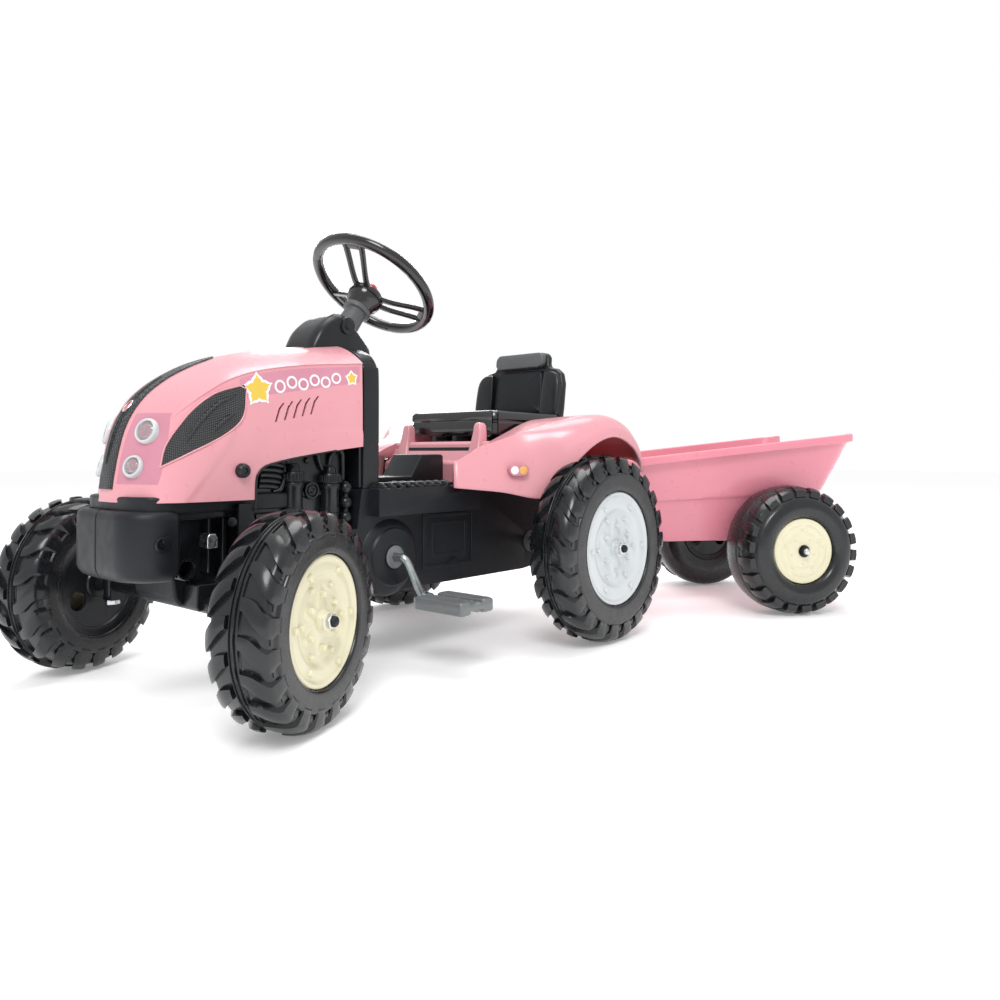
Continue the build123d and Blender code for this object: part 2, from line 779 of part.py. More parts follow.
def bonnet_solid(grow, bottom, y_shift=0):
    """The bonnet's outer shape, grown or shrunk by a constant amount."""
    with BuildPart() as solid:
        for y, foot_w, crease_w, crease, crown in BONNET_STATIONS:
            foot, side, top = foot_w + grow, crease_w + grow, crease + grow * 0.5
            with BuildSketch(Plane.XZ.offset(-(y + y_shift))):
                with BuildLine():
                    Polyline((-side, top), (-foot, bottom), (foot, bottom), (side, top))
                    ThreePointArc((side, top), (0, crown + grow), (-side, top))
                make_face()
        loft(ruled=True)
    return solid


notch_y, notch_half_w = 171, hump_half_w + 3
with BuildPart() as bonnet_outer:
    add(bonnet_solid(0, BONNET_BOTTOM).part)
with BuildPart() as bonnet:
    add(bonnet_outer.part)
    add(bonnet_solid(-BONNET_WALL, BONNET_BOTTOM - 10, BONNET_WALL).part, mode=Mode.SUBTRACT)
    with BuildSketch(Plane.YZ.offset(-BONNET_HALF_W - 10)):
        with BuildLine():
            Polyline((53, 240), (53, 284), (66, 297), (236, 326), (236, 240), close=True)
        make_face()
    extrude(amount=2 * BONNET_HALF_W + 20, mode=Mode.SUBTRACT)
    with BuildSketch(Plane.XY.offset(400)):
        with Locations((0, notch_y + 50)):
            Rectangle(2 * notch_half_w, 100)
    extrude(amount=120, mode=Mode.SUBTRACT)
    for vent in range(5):
        with BuildSketch(Plane.YZ.offset(-BONNET_HALF_W - 10)):
            with Locations((82 + vent * 14, 364 + vent * 3)):
                Rectangle(30, 4, rotation=58)
        extrude(amount=2 * BONNET_HALF_W + 20, mode=Mode.SUBTRACT)
    for side in (1, -1):
        with BuildSketch(Plane.YZ.offset(side * lug_x)):
            with BuildLine():
                Polyline((-91, 257), (-91, 272), (-76, 270), (-74, 257), close=True)
            make_face()
            with Locations((HINGE_Y, HINGE_Z)):
                Circle(HINGE_PIN_R + RUN_FIT, mode=Mode.SUBTRACT)
        extrude(amount=side * lug_t)
save(bonnet, "bonnet")

strip_half_w = 17
with BuildPart() as bonnet_strip:
    with BuildSketch(Plane.XY.offset(STRIP_Z0)):
        with Locations((0, -20)):
            Rectangle(2 * strip_half_w, 150)
    extrude(amount=600)
    add(bonnet_solid(TRIM_T, STRIP_Z0 - 12, -TRIM_T).part, mode=Mode.INTERSECT)
    add(bonnet_outer.part, mode=Mode.SUBTRACT)
save(bonnet_strip, "bonnet_strip")

with BuildPart() as side_grilles:
    with BuildSketch(Plane.YZ.offset(-BONNET_HALF_W - 10)):
        with BuildLine():
            Spline((-57, 294), (-46, 332), (-10, 376), (32, 400))
            Spline((32, 400), (38, 372), (18, 342), (-57, 294))
        make_face()
    extrude(amount=2 * BONNET_HALF_W + 20)
    add(bonnet_solid(TRIM_T, STRIP_Z0 - 12).part, mode=Mode.INTERSECT)
    add(bonnet_outer.part, mode=Mode.SUBTRACT)
save(side_grilles, "side_grilles")

lamp_dir = Vector(0.336, -0.902, 0.271)
lamp_places = [(46, -62, 341, 16), (42, -76, 298, 14.3)]


def lamp_plane(place, out):
    x, y, z, _ = place
    return Plane(origin=Vector(x, y, z) + lamp_dir * out, x_dir=Z, z_dir=lamp_dir)


with BuildPart() as bezel:
    for place in lamp_places:
        with BuildSketch(lamp_plane(place, -12)):
            Circle(place[3])
        extrude(amount=17)
    add(bonnet_outer.part, mode=Mode.SUBTRACT)
    for place in lamp_places:
        with BuildSketch(lamp_plane(place, -16)):
            Circle(place[3] - 3)
        extrude(amount=30, mode=Mode.SUBTRACT)
save(pair(bezel), "headlamp_bezels")

with BuildPart() as lens:
    for place in lamp_places:
        with BuildSketch(lamp_plane(place, -16)):
            Circle(place[3] - 3 - GAP / 2)
        extrude(amount=22.5)
    add(bonnet_outer.part, mode=Mode.SUBTRACT)
save(pair(lens), "headlamp_lenses")

with BuildPart() as bonnet_knob:
    with BuildSketch(Plane.YZ.offset(BONNET_HALF_W)):
        with Locations((32, 290)):
            Circle(9)
    extrude(amount=9, taper=8)
save(pair(bonnet_knob), "bonnet_knobs")

# ================= rear body: deck and mudguards in one moulding =================
arch_r = REAR_WHEEL_R + 18
guard_side = [
    (394, STEP_Z + 0.5),
    (402, 296),
    (440, 322),
    (500, 348),
    (556, 368),
    (609, 378),
    (668, 374),
    (722, 350),
    (758, 306),
    (762, 290),
    (738, 286),
    (541, 240),
    (472, 248),
    (466, STEP_Z + 0.5),
]
guard_x = SEAT_HALF_W + 5
guard_plan = [
    (guard_x, 392),
    (126, 392),
    (150, 440),
    (200, 530),
    (240, 570),
    (FENDER_HALF_W, 610),
    (FENDER_HALF_W, 700),
    (262, 740),
    (246, 764),
    (guard_x, 764),
]


def guard_body(inset):
    """A mudguard's block; an inset one is the hollow under its skin, open below."""
    with BuildPart() as block:
        with BuildSketch(Plane.YZ.offset(guard_x)):
            with BuildLine():
                Polyline(*guard_side, close=True)
            make_face()
            if inset:
                offset(amount=-inset, kind=Kind.INTERSECTION)
        extrude(amount=FENDER_HALF_W)
        if inset:
            with BuildSketch(Plane.YZ.offset(guard_x)):
                with BuildLine():
                    Polyline((408, 200), (408, 290), (500, 330), (750, 292), (750, 200), close=True)
                make_face()
            extrude(amount=FENDER_HALF_W)
        with BuildSketch(Plane.XY.offset(150)):
            with BuildLine():
                Polyline(*guard_plan, close=True)
            make_face()
            if inset:
                offset(amount=-inset, kind=Kind.INTERSECTION)
        extrude(amount=300, mode=Mode.INTERSECT)
    return block


with BuildPart() as mudguard:
    add(guard_body(0).part)
    add(guard_body(FENDER_WALL).part, mode=Mode.SUBTRACT)
    with BuildSketch(Plane.YZ.offset(REAR_HALF_TRACK - WHEEL_W / 2 - 8)):
        with Locations((WHEELBASE, REAR_WHEEL_R)):
            Circle(arch_r)
    extrude(amount=FENDER_HALF_W, mode=Mode.SUBTRACT)

with BuildPart() as rear_body:
    add(mudguard.part)
    add(mudguard.part.mirror(Plane.YZ))
    with BuildSketch(Plane.YZ.offset(-guard_x - 2)):
        with BuildLine():
            Polyline((487, DECK_Z + 0.1), (487, 334), (752, 334), (752, 302), (743, 302.2), close=True)
        make_face()
    extrude(amount=2 * guard_x + 4)
    with BuildSketch(Plane.XY.offset(333)):
        with Locations((90, 498), (-90, 498)):
            Circle(9)
    extrude(amount=34, taper=6)
save(rear_body, "rear_body")

slant = Vector(0.874, -0.486, 0)
cluster_place = Vector(176, 486, 286)
with BuildPart() as lamp_cluster:
    with BuildSketch(Plane(origin=cluster_place - slant * 6, x_dir=(0.486, 0.874, 0), z_dir=slant)):
        SlotOverall(34, 16)
    extrude(amount=12)
    add(guard_body(0).part, mode=Mode.SUBTRACT)
save(pair(lamp_cluster), "lamp_clusters")

# ================= seat on a sliding rail =================
deck_top = 334
rail_half_w, rail_h = 30, SEAT_Z - deck_top - GAP
with BuildPart() as seat_rail:
    with BuildSketch(Plane.XZ.offset(-500)):
        with Locations((0, deck_top + rail_h / 2)):
            Rectangle(2 * rail_half_w, rail_h)
        with Locations((0, deck_top + rail_h / 2 + 2)):
            Rectangle(2 * rail_half_w - 20, rail_h, mode=Mode.SUBTRACT)
    extrude(amount=-240)
save(seat_rail, "seat_rail")

seat_side = [
    (SEAT_Y0, SEAT_Z),
    (SEAT_Y0 - 6, SEAT_Z + 8),
    (SEAT_Y0 - 4, 384),
    (SEAT_Y0 + 6, 390),
    (SEAT_Y1 - 50, 384),
    (SEAT_Y1, 396),
    (SEAT_Y1, SEAT_Z),
]
with BuildPart() as seat_pan:
    with BuildSketch(Plane.YZ.offset(-SEAT_HALF_W)):
        with BuildLine():
            Polyline(*seat_side, close=True)
        make_face()
    extrude(amount=2 * SEAT_HALF_W)
    fillet(seat_pan.edges().filter_by(Axis.Z), 18)
    with BuildSketch(Plane.XZ.offset(-SEAT_Y0 - 22)):
        with BuildLine():
            Polyline((-86, 402), (-70, 376), (70, 376), (86, 402), close=True)
        make_face()
    extrude(amount=-(SEAT_Y1 - SEAT_Y0 - 22), mode=Mode.SUBTRACT)
    with BuildSketch(Plane.XY.offset(SEAT_Z - 1)):
        with Locations((0, (SEAT_Y0 + SEAT_Y1) / 2 + 4)):
            Rectangle(2 * SEAT_HALF_W - 16, SEAT_Y1 - SEAT_Y0 - 30)
            Rectangle(2 * rail_half_w + 12, SEAT_Y1 - SEAT_Y0 - 20, mode=Mode.SUBTRACT)
    extrude(amount=26, mode=Mode.SUBTRACT)
save(seat_pan, "seat_pan")

with BuildPart() as seat_back:
    with BuildSketch(Plane.YZ.offset(-SEAT_HALF_W)):
        with BuildLine():
            Polyline(
                (SEAT_Y1 + GAP, SEAT_Z),
                (SEAT_Y1 + GAP, 396),
                (SEAT_Y1 - 30, 398),
                (SEAT_Y1 - 14, SEAT_BACK_TOP - 14),
                (SEAT_Y1 - 6, SEAT_BACK_TOP),
                (SEAT_Y1 + 14, SEAT_BACK_TOP),
                (SEAT_Y1 + 22, SEAT_BACK_TOP - 12),
                (SEAT_Y1 + 20, SEAT_Z),
                close=True,
            )
        make_face()
    extrude(amount=2 * SEAT_HALF_W)
    with BuildSketch(Plane.XZ.offset(-SEAT_Y1 + 60)):
        with BuildLine():
            Polyline((-78, 300), (-78, 398), (-64, SEAT_BACK_TOP - 26), (64, SEAT_BACK_TOP - 26), (78, 398), (78, 300))
            Line((78, 300), (-78, 300))
        make_face()
    extrude(amount=-58, mode=Mode.SUBTRACT)
    with BuildSketch(Plane.XZ.offset(-SEAT_Y1 + 100)):
        with BuildLine():
            Polyline(
                (-SEAT_HALF_W, SEAT_Z - 5),
                (-SEAT_HALF_W, 400),
                (-SEAT_HALF_W + 16, SEAT_BACK_TOP - 20),
                (-SEAT_HALF_W + 34, SEAT_BACK_TOP + 2),
                (SEAT_HALF_W - 34, SEAT_BACK_TOP + 2),
                (SEAT_HALF_W - 16, SEAT_BACK_TOP - 20),
                (SEAT_HALF_W, 400),
                (SEAT_HALF_W, SEAT_Z - 5),
                close=True,
            )
        make_face()
    extrude(amount=-200, mode=Mode.INTERSECT)
save(seat_back, "seat_back")

# ================= steering =================
hub_top, hub_bottom = -16, -52
with BuildPart() as steering_wheel:
    with BuildSketch(Plane(COLUMN.origin, x_dir=COLUMN.x_dir, z_dir=COLUMN.y_dir)):
        with Locations((RING_R - GRIP_R, 0)):
            Circle(GRIP_R)
    revolve(axis=Axis(COLUMN.origin, COLUMN.z_dir))
    with BuildSketch(COLUMN.offset(hub_bottom)):
        Circle(24)
    extrude(amount=hub_top - hub_bottom, taper=-8)
    for spoke in range(3):
        turn = -90 + STEER_DEG + 120 * spoke
        for bar in (-1, 1):
            ray = Vector(cos(radians(turn)), sin(radians(turn)), 0)
            across = Vector(-ray.Y, ray.X, 0)
            near = ray * 16 + across * (bar * 9) + Z * (hub_top - 10)
            far = ray * (RING_R - GRIP_R) + across * (bar * 13) - Z * 2
            start, end = COLUMN.from_local_coords(near), COLUMN.from_local_coords(far)
            with BuildSketch(Plane(origin=start, z_dir=end - start)):
                Circle(4)
            extrude(amount=(end - start).length)
    with BuildSketch(COLUMN.offset(hub_bottom - 1)):
        Circle(SHAFT_R)
    extrude(amount=22, mode=Mode.SUBTRACT)
    with BuildSketch(COLUMN.offset(hub_top - 8)):
        Circle(9 + RUN_FIT)
    extrude(amount=9, mode=Mode.SUBTRACT)
save(steering_wheel, "steering_wheel")

with BuildPart() as column_sleeve:
    with BuildSketch(COLUMN.offset(column_face + 1)):
        Circle(18)
    extrude(amount=hub_bottom - column_face - 1 - 5)
    with BuildSketch(COLUMN.offset(hub_bottom - 5)):
        Circle(22)
    extrude(amount=5)
    with BuildSketch(COLUMN.offset(column_face)):
        Circle(SHAFT_R)
    extrude(amount=60, mode=Mode.SUBTRACT)
save(column_sleeve, "column_sleeve")

shaft_len = 540
drop_arm = 28
with BuildPart() as steering_shaft:
    with BuildSketch(COLUMN.offset(-shaft_len)):
        Circle(SHAFT_R)
    extrude(amount=shaft_len + hub_bottom + 20)
    with BuildSketch(COLUMN.offset(-shaft_len)):
        with Locations(Location((0, 0), -90 + STEER_DEG)):
            with Locations((drop_arm / 2, 0)):
                SlotCenterToCenter(drop_arm, 2 * SHAFT_R)
    extrude(amount=6)
save(steering_shaft, "steering_shaft")

with BuildPart() as horn_button:
    with BuildSketch(COLUMN.offset(hub_top - 5)):
        Circle(9)
    extrude(amount=9)
    with BuildSketch(COLUMN.offset(hub_top + 4)):
        Circle(11)
    extrude(amount=10)
    fillet(horn_button.faces().sort_by(Axis(COLUMN.origin, COLUMN.z_dir))[-1].edges(), 7)
save(horn_button, "horn_button")

# ================= hitch =================
clevis_gap = EYE_T + 6
clevis_z0 = HITCH_Z - 3
with BuildPart() as hitch_bracket:
    with BuildSketch(Plane.YZ.offset(-18)):
        with BuildLine():
            Polyline(
                (746, clevis_z0 - 22),
                (746, clevis_z0 + clevis_gap + 22),
                (756, clevis_z0 + clevis_gap + 22),
                (770, clevis_z0 + clevis_gap + 8),
                (HITCH_Y + 16, clevis_z0 + clevis_gap + 8),
                (HITCH_Y + 16, clevis_z0 + clevis_gap),
                (754, clevis_z0 + clevis_gap),
                (754, clevis_z0),
                (HITCH_Y + 16, clevis_z0),
                (HITCH_Y + 16, clevis_z0 - 8),
                (770, clevis_z0 - 8),
                (756, clevis_z0 - 22),
                close=True,
            )
        make_face()
    extrude(amount=36)
    with BuildSketch(Plane.XY.offset(100)):
        with Locations((0, HITCH_Y)):
            Circle(PIN_R + RUN_FIT)
    extrude(amount=120, mode=Mode.SUBTRACT)
save(hitch_bracket, "hitch_bracket")

pin_low, pin_high = clevis_z0 - 14, clevis_z0 + clevis_gap + 8 + GAP
with BuildPart() as hitch_pin:
    with BuildSketch(Plane.XY.offset(pin_low)):
        with Locations((0, HITCH_Y)):
            Circle(PIN_R)
    extrude(amount=pin_high - pin_low)
    with BuildSketch(Plane.XY.offset(pin_high)):
        with Locations((0, HITCH_Y)):
            Circle(PIN_R + 5)
    extrude(amount=4)
    with BuildSketch(Plane.YZ.offset(-2.5)):
        with Locations((HITCH_Y, pin_high + 14)):
            Circle(13)
            Circle(8, mode=Mode.SUBTRACT)
    extrude(amount=5)
save(hitch_pin, "hitch_pin")

# ================= trailer, drawn with the hitch pin at its own origin =================
rim_tilt = degrees(atan2(TUB_REAR_Z - TUB_FRONT_Z, TUB_REAR_Y - TUB_FRONT_Y))
top_len = sqrt((TUB_REAR_Z - TUB_FRONT_Z) ** 2 + (TUB_REAR_Y - TUB_FRONT_Y) ** 2)


def top_plane(rise):
    """The sloping plane of the tub's rim, raised along its own normal."""
    level = Plane(
        origin=(0, TUB_FRONT_Y, TUB_FRONT_Z),
        x_dir=(1, 0, 0),
        z_dir=(0, -sin(radians(rim_tilt)), cos(radians(rim_tilt))),
    )
    return on_trailer(level.offset(rise))


def tub_block(inset, extend):
    """The tub's outer shape, or the hollow inside it, as a loft from floor to rim."""
    with BuildPart() as block:
        floor_len = TUB_FLOOR_Y1 - TUB_FLOOR_Y0 - 2 * inset
        with BuildSketch(on_trailer(Plane.XY.offset(TUB_FLOOR_Z + inset))):
            with Locations((0, (TUB_FLOOR_Y0 + TUB_FLOOR_Y1) / 2)):
                RectangleRounded(2 * (TUB_FLOOR_HALF_W - inset), floor_len, 30)
        with BuildSketch(top_plane(extend)):
            with Locations((0, top_len / 2)):
                RectangleRounded(2 * (TUB_TOP_HALF_W - inset), top_len - 2 * inset, 45)
        loft()
    return block


lip_w, lip_h = 11, 15
with BuildPart() as trailer_tub:
    add(tub_block(0, 0).part)
    with BuildSketch(top_plane(-lip_h)):
        with Locations((0, top_len / 2)):
            RectangleRounded(2 * (TUB_TOP_HALF_W + lip_w), top_len + 2 * lip_w, 45 + lip_w)
            RectangleRounded(2 * (TUB_TOP_HALF_W + lip_w - 3), top_len + 2 * (lip_w - 3), 42 + lip_w, mode=Mode.SUBTRACT)
    extrude(amount=lip_h - 3)
    with BuildSketch(top_plane(-3)):
        with Locations((0, top_len / 2)):
            RectangleRounded(2 * (TUB_TOP_HALF_W + lip_w), top_len + 2 * lip_w, 45 + lip_w)
    extrude(amount=3)
    add(tub_block(TUB_WALL, 0.5).part, mode=Mode.SUBTRACT)
    with BuildSketch(on_trailer(Plane.YZ.offset(-TUB_TOP_HALF_W + 14))):
        with BuildLine():
            Polyline((500, TUB_LIP_Z), (500, 420), (640, 420), (640, TUB_LIP_Z), close=True)
        make_face()
    extrude(amount=2 * (TUB_TOP_HALF_W - 14), mode=Mode.SUBTRACT)
save(trailer_tub, "trailer_tub")

neck_half_w = 22
with BuildPart() as trailer_drawbar:
    with BuildSketch(on_trailer(Plane.YZ.offset(-TUB_FLOOR_HALF_W))):
        with BuildLine():
            Polyline(
                (-46, HITCH_Z),
                (-46, HITCH_Z + EYE_T),
                (44, HITCH_Z + EYE_T),
                (64, 190),
                (88, 262),
                (105, 262),
                (172, 152),
                (150, 148),
                (52, HITCH_Z),
                close=True,
            )
        make_face()
    extrude(amount=2 * TUB_FLOOR_HALF_W)
    with BuildSketch(on_trailer(Plane.XY.offset(100))):
        with BuildLine():
            Polyline(
                (-neck_half_w + 8, -46),
                (-neck_half_w, -34),
                (-neck_half_w, 40),
                (-70, 110),
                (-70, 180),
                (70, 180),
                (70, 110),
                (neck_half_w, 40),
                (neck_half_w, -34),
                (neck_half_w - 8, -46),
                close=True,
            )
        make_face()
    extrude(amount=220, mode=Mode.INTERSECT)
    add(tub_block(0, 0).part, mode=Mode.SUBTRACT)
    with BuildSketch(on_trailer(Plane.XY.offset(100))):
        Circle(PIN_R + RUN_FIT)
    extrude(amount=120, mode=Mode.SUBTRACT)
save(trailer_drawbar, "trailer_drawbar")

trailer_nut = TRAILER_WHEEL_W / 2 - TRAILER_RIM_RECESS + 2 + 2 * GAP
trailer_half = TRAILER_HALF_TRACK + trailer_nut + 6
with BuildPart() as trailer_axle:
    with BuildSketch(on_trailer(Plane.YZ.offset(-trailer_half))):
        with Locations((TRAILER_AXLE_Y, TRAILER_WHEEL_R)):
            Circle(TRAILER_AXLE_R)
    extrude(amount=2 * trailer_half)
save(trailer_axle, "trailer_axle")

with BuildPart() as trailer_axle_carriers:
    for side in (1, -1):
        with BuildSketch(on_trailer(Plane.YZ.offset(side * 96 - 6))):
            with BuildLine():
                Polyline((404, TUB_FLOOR_Z), (416, 112), (442, 112), (454, TUB_FLOOR_Z), close=True)
            make_face()
            with Locations((TRAILER_AXLE_Y, TRAILER_WHEEL_R)):
                Circle(TRAILER_AXLE_R + RUN_FIT, mode=Mode.SUBTRACT)
        extrude(amount=12)
    add(tub_block(0, 0).part, mode=Mode.SUBTRACT)
save(trailer_axle_carriers, "trailer_axle_carriers")

for side, name in ((1, "left"), (-1, "right")):
    hub = on_trailer(
        wheel_frame((side * TRAILER_HALF_TRACK, TRAILER_AXLE_Y, TRAILER_WHEEL_R), (side, 0, 0))
    )
    save(tyre(hub, TRAILER_WHEEL_R, TRAILER_WHEEL_W, TRAILER_RIM_R), f"trailer_tyre_{name}")
    save(
        rim(hub, TRAILER_WHEEL_W, TRAILER_RIM_R, TRAILER_RIM_RECESS, TRAILER_AXLE_R + RUN_FIT),
        f"trailer_rim_{name}",
    )

with BuildPart() as trailer_axle_caps:
    for side in (1, -1):
        cap = on_trailer(
            wheel_frame((side * TRAILER_HALF_TRACK, TRAILER_AXLE_Y, TRAILER_WHEEL_R), (side, 0, 0))
        )
        add(cap_nut(cap, trailer_nut, TRAILER_AXLE_R).part)
save(trailer_axle_caps, "trailer_axle_caps")
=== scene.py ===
import json
from math import cos, pi, radians, sin, sqrt

import bmesh
import bpy
from mathutils import Matrix, Vector


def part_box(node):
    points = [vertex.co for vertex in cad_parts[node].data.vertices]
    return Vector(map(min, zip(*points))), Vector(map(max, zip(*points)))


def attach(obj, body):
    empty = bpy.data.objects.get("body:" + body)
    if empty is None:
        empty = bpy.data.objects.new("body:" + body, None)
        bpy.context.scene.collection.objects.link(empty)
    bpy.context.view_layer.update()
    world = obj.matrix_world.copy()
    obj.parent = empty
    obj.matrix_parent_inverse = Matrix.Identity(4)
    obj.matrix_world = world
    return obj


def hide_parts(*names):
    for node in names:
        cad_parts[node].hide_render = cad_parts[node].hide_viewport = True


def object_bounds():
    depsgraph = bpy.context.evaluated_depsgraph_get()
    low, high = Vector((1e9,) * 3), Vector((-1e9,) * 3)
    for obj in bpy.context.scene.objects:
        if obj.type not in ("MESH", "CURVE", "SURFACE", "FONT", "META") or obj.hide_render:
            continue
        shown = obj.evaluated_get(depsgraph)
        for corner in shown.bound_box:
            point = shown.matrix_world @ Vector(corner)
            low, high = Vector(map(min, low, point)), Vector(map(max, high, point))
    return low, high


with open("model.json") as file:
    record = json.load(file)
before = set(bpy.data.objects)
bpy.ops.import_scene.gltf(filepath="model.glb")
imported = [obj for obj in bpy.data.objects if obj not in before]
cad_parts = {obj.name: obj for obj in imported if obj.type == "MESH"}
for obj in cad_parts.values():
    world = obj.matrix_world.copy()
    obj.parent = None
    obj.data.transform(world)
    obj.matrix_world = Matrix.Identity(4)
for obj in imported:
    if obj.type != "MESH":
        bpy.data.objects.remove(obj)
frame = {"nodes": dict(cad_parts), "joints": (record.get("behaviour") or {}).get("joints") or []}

# A child's pink pedal tractor with its two-wheeled trailer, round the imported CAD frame.
# Shapes are written in millimetres in the tractor's frame (origin on the ground under the
# front axle, +X the driver's left, nose to -Y), in the trailer's frame (origin under the
# hitch pin) or in a wheel's frame (local x up, local z outward).

CAD_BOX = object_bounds()
MM = 0.001
JOINTS = {joint["name"]: joint for joint in frame["joints"]}


def middle(node):
    low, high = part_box(node)
    return (low + high) / 2


def axes(origin, x_dir, y_dir, z_dir, scale=MM):
    """The matrix of a frame given by its origin in metres and its three directions."""
    turn = Matrix((x_dir, y_dir, z_dir)).transposed().to_4x4()
    return Matrix.Translation(origin) @ turn @ Matrix.Scale(scale, 4)


X, Y, Z = Vector((1, 0, 0)), Vector((0, 1, 0)), Vector((0, 0, 1))
beam = middle("front_axle_beam")
TRACTOR = axes(Vector((beam.x, beam.y, 0)), X, Y, Z)
hitch = Vector(JOINTS["hitch_turn"]["pos_m"])
trailer_x = Vector(JOINTS["trailer_left_spin"]["axis"])
TRAILER = axes(Vector((hitch.x, hitch.y, 0)), trailer_x, Z.cross(trailer_x), Z)


def wheel_axes(tyre_node, spin_joint, side):
    """A wheel's frame: local z points away from the vehicle."""
    outward = Vector(JOINTS[spin_joint]["axis"]) * side
    return axes(middle(tyre_node), Z, outward.cross(Z), outward)


# ================= materials =================


class Shader:
    """A node material with a Principled shader and a few ways to feed it."""

    def __init__(self, name, roughness=0.4, **sockets):
        self.material = bpy.data.materials.new(name)
        self.material.use_nodes = True
        self.tree = self.material.node_tree
        self.bsdf = self.tree.nodes["Principled BSDF"]
        self.coords = self.node("ShaderNodeTexCoord").outputs["Object"]
        self.set("Roughness", roughness)
        for socket, value in sockets.items():
            self.set(socket.replace("_", " "), value)
        self.height = None

    def node(self, kind, **values):
        made = self.tree.nodes.new(kind)
        for key, value in values.items():
            if key in made.inputs:
                made.inputs[key].default_value = value
            else:
                setattr(made, key, value)
        return made

    def set(self, socket, value):
        self.bsdf.inputs[socket].default_value = value

    def link(self, source, target):
        self.tree.links.new(source, target)

    def noise(self, scale, detail=3.0, vector=None):
        made = self.node("ShaderNodeTexNoise", Scale=scale, Detail=detail)
        self.link(vector or self.coords, made.inputs["Vector"])
        return made.outputs["Fac"]

    def blend(self, fac, low, high, start=0.3, end=0.7):
        """A colour that runs from low to high as fac runs from start to end."""
        ramp = self.node("ShaderNodeValToRGB")
        ramp.color_ramp.elements[0].position = start
        ramp.color_ramp.elements[1].position = end
        ramp.color_ramp.elements[0].color = (*low, 1)
        ramp.color_ramp.elements[1].color = (*high, 1)
        self.link(fac, ramp.inputs["Fac"])
        return ramp.outputs["Color"]

    def span(self, fac, low, high, start=0.3, end=0.7):
        made = self.node("ShaderNodeMapRange")
        values = (start, end, low, high)
        for socket, value in zip(("From Min", "From Max", "To Min", "To Max"), values):
            made.inputs[socket].default_value = value
        self.link(fac, made.inputs["Value"])
        return made.outputs["Result"]

    def colour(self, output):
        self.link(output, self.bsdf.inputs["Base Color"])

    def rough(self, output):
        self.link(output, self.bsdf.inputs["Roughness"])

    def bump(self, fac, depth, strength=1.0):
        """Adds one layer of relief, depth in metres, on top of those already there."""
        made = self.node("ShaderNodeBump", Strength=strength, Distance=depth)
        self.link(fac, made.inputs["Height"])
        if self.height is not None:
            self.link(self.height, made.inputs["Normal"])
        self.height = made.outputs["Normal"]
        self.link(self.height, self.bsdf.inputs["Normal"])


def moulded(name, low, high, gloss, grain=0.0, coat=0.0, grain_scale=900, wear=0.08, shine=0.5):
    """Injection or blow-moulded plastic: slow colour drift, uneven gloss, fine grain."""
    shader = Shader(name, Coat_Weight=coat, Coat_Roughness=0.12, Specular_IOR_Level=shine)
    drift = shader.noise(9, 4)
    shader.colour(shader.blend(drift, low, high))
    shader.rough(shader.span(shader.noise(60, 5), gloss - wear / 2, gloss + wear))
    shader.bump(shader.noise(22, 1), 0.0006, 0.12)
    if grain:
        shader.bump(shader.noise(grain_scale, 2), grain)
    return shader.material


def woven(name, dark, light, pitch, gloss=0.42):
    """The fine basket weave moulded into the bonnet's dark panels."""
    shader = Shader(name)
    turned = shader.node("ShaderNodeMapping", Rotation=(radians(35), radians(40), radians(45)))
    shader.link(shader.coords, turned.inputs["Vector"])
    waves = []
    for direction in ("X", "Y"):
        wave = shader.node("ShaderNodeTexWave", Scale=0.3 / pitch, bands_direction=direction)
        shader.link(turned.outputs["Vector"], wave.inputs["Vector"])
        waves.append(wave.outputs["Fac"])
    both = shader.node("ShaderNodeMath", operation="MULTIPLY")
    shader.link(waves[0], both.inputs[0])
    shader.link(waves[1], both.inputs[1])
    shader.colour(shader.blend(both.outputs["Value"], dark, light, 0.15, 0.8))
    shader.rough(shader.span(shader.noise(40), gloss - 0.08, gloss + 0.1))
    shader.bump(both.outputs["Value"], pitch * 0.5, 0.9)
    return shader.material


def metal(name, low, high, gloss, brush=300):
    shader = Shader(name, Metallic=1.0)
    shader.colour(shader.blend(shader.noise(120, 4), low, high))
    shader.rough(shader.span(shader.noise(brush, 3), gloss - 0.06, gloss + 0.1))
    shader.bump(shader.noise(brush * 3, 2), 0.00004)
    return shader.material


def glass(name, tint, gloss):
    shader = Shader(name, Transmission_Weight=0.92, IOR=1.49)
    shader.colour(shader.blend(shader.noise(50), tint, tuple(min(1, c * 1.06) for c in tint)))
    shader.rough(shader.span(shader.noise(90), gloss, gloss + 0.05))
    return shader.material


PINK = moulded("pink", (0.665, 0.285, 0.325), (0.70, 0.310, 0.350), 0.30, 0.00003, 0.35)
PINK_DARK = moulded("pink_dark", (0.50, 0.20, 0.265), (0.55, 0.225, 0.295), 0.36, 0.00003, 0.2)
TUB_PINK = moulded("tub_pink", (0.68, 0.225, 0.29), (0.72, 0.25, 0.315), 0.30, 0.00003, 0.35)
# Painted shade: the mudguards' underside is pink plastic in shadow, and it is given this saturated dark
# red colour.
SHADE_RED_UNDERSIDE = moulded("painted_shade_underside", (0.42, 0.012, 0.02), (0.5, 0.02, 0.03), 0.42, 0.00004)
BLACK = moulded("black_grained", (0.006, 0.0075, 0.0095), (0.0105, 0.0125, 0.0155), 0.40, 0.00012,
                shine=0.3)
SATIN = moulded("black_satin", (0.006, 0.007, 0.0085), (0.010, 0.0115, 0.0135), 0.30, 0.00004, 0.1,
                shine=0.35)
GLOSSY = moulded("black_gloss", (0.006, 0.006, 0.007), (0.01, 0.01, 0.011), 0.16, 0.0, 0.4)
TYRE = moulded("tyre_plastic", (0.005, 0.006, 0.007), (0.010, 0.011, 0.013), 0.25, 0.00003, 0.2,
               shine=0.45)
CREAM = moulded("cream", (0.66, 0.62, 0.43), (0.70, 0.66, 0.475), 0.34, 0.00003, 0.2)
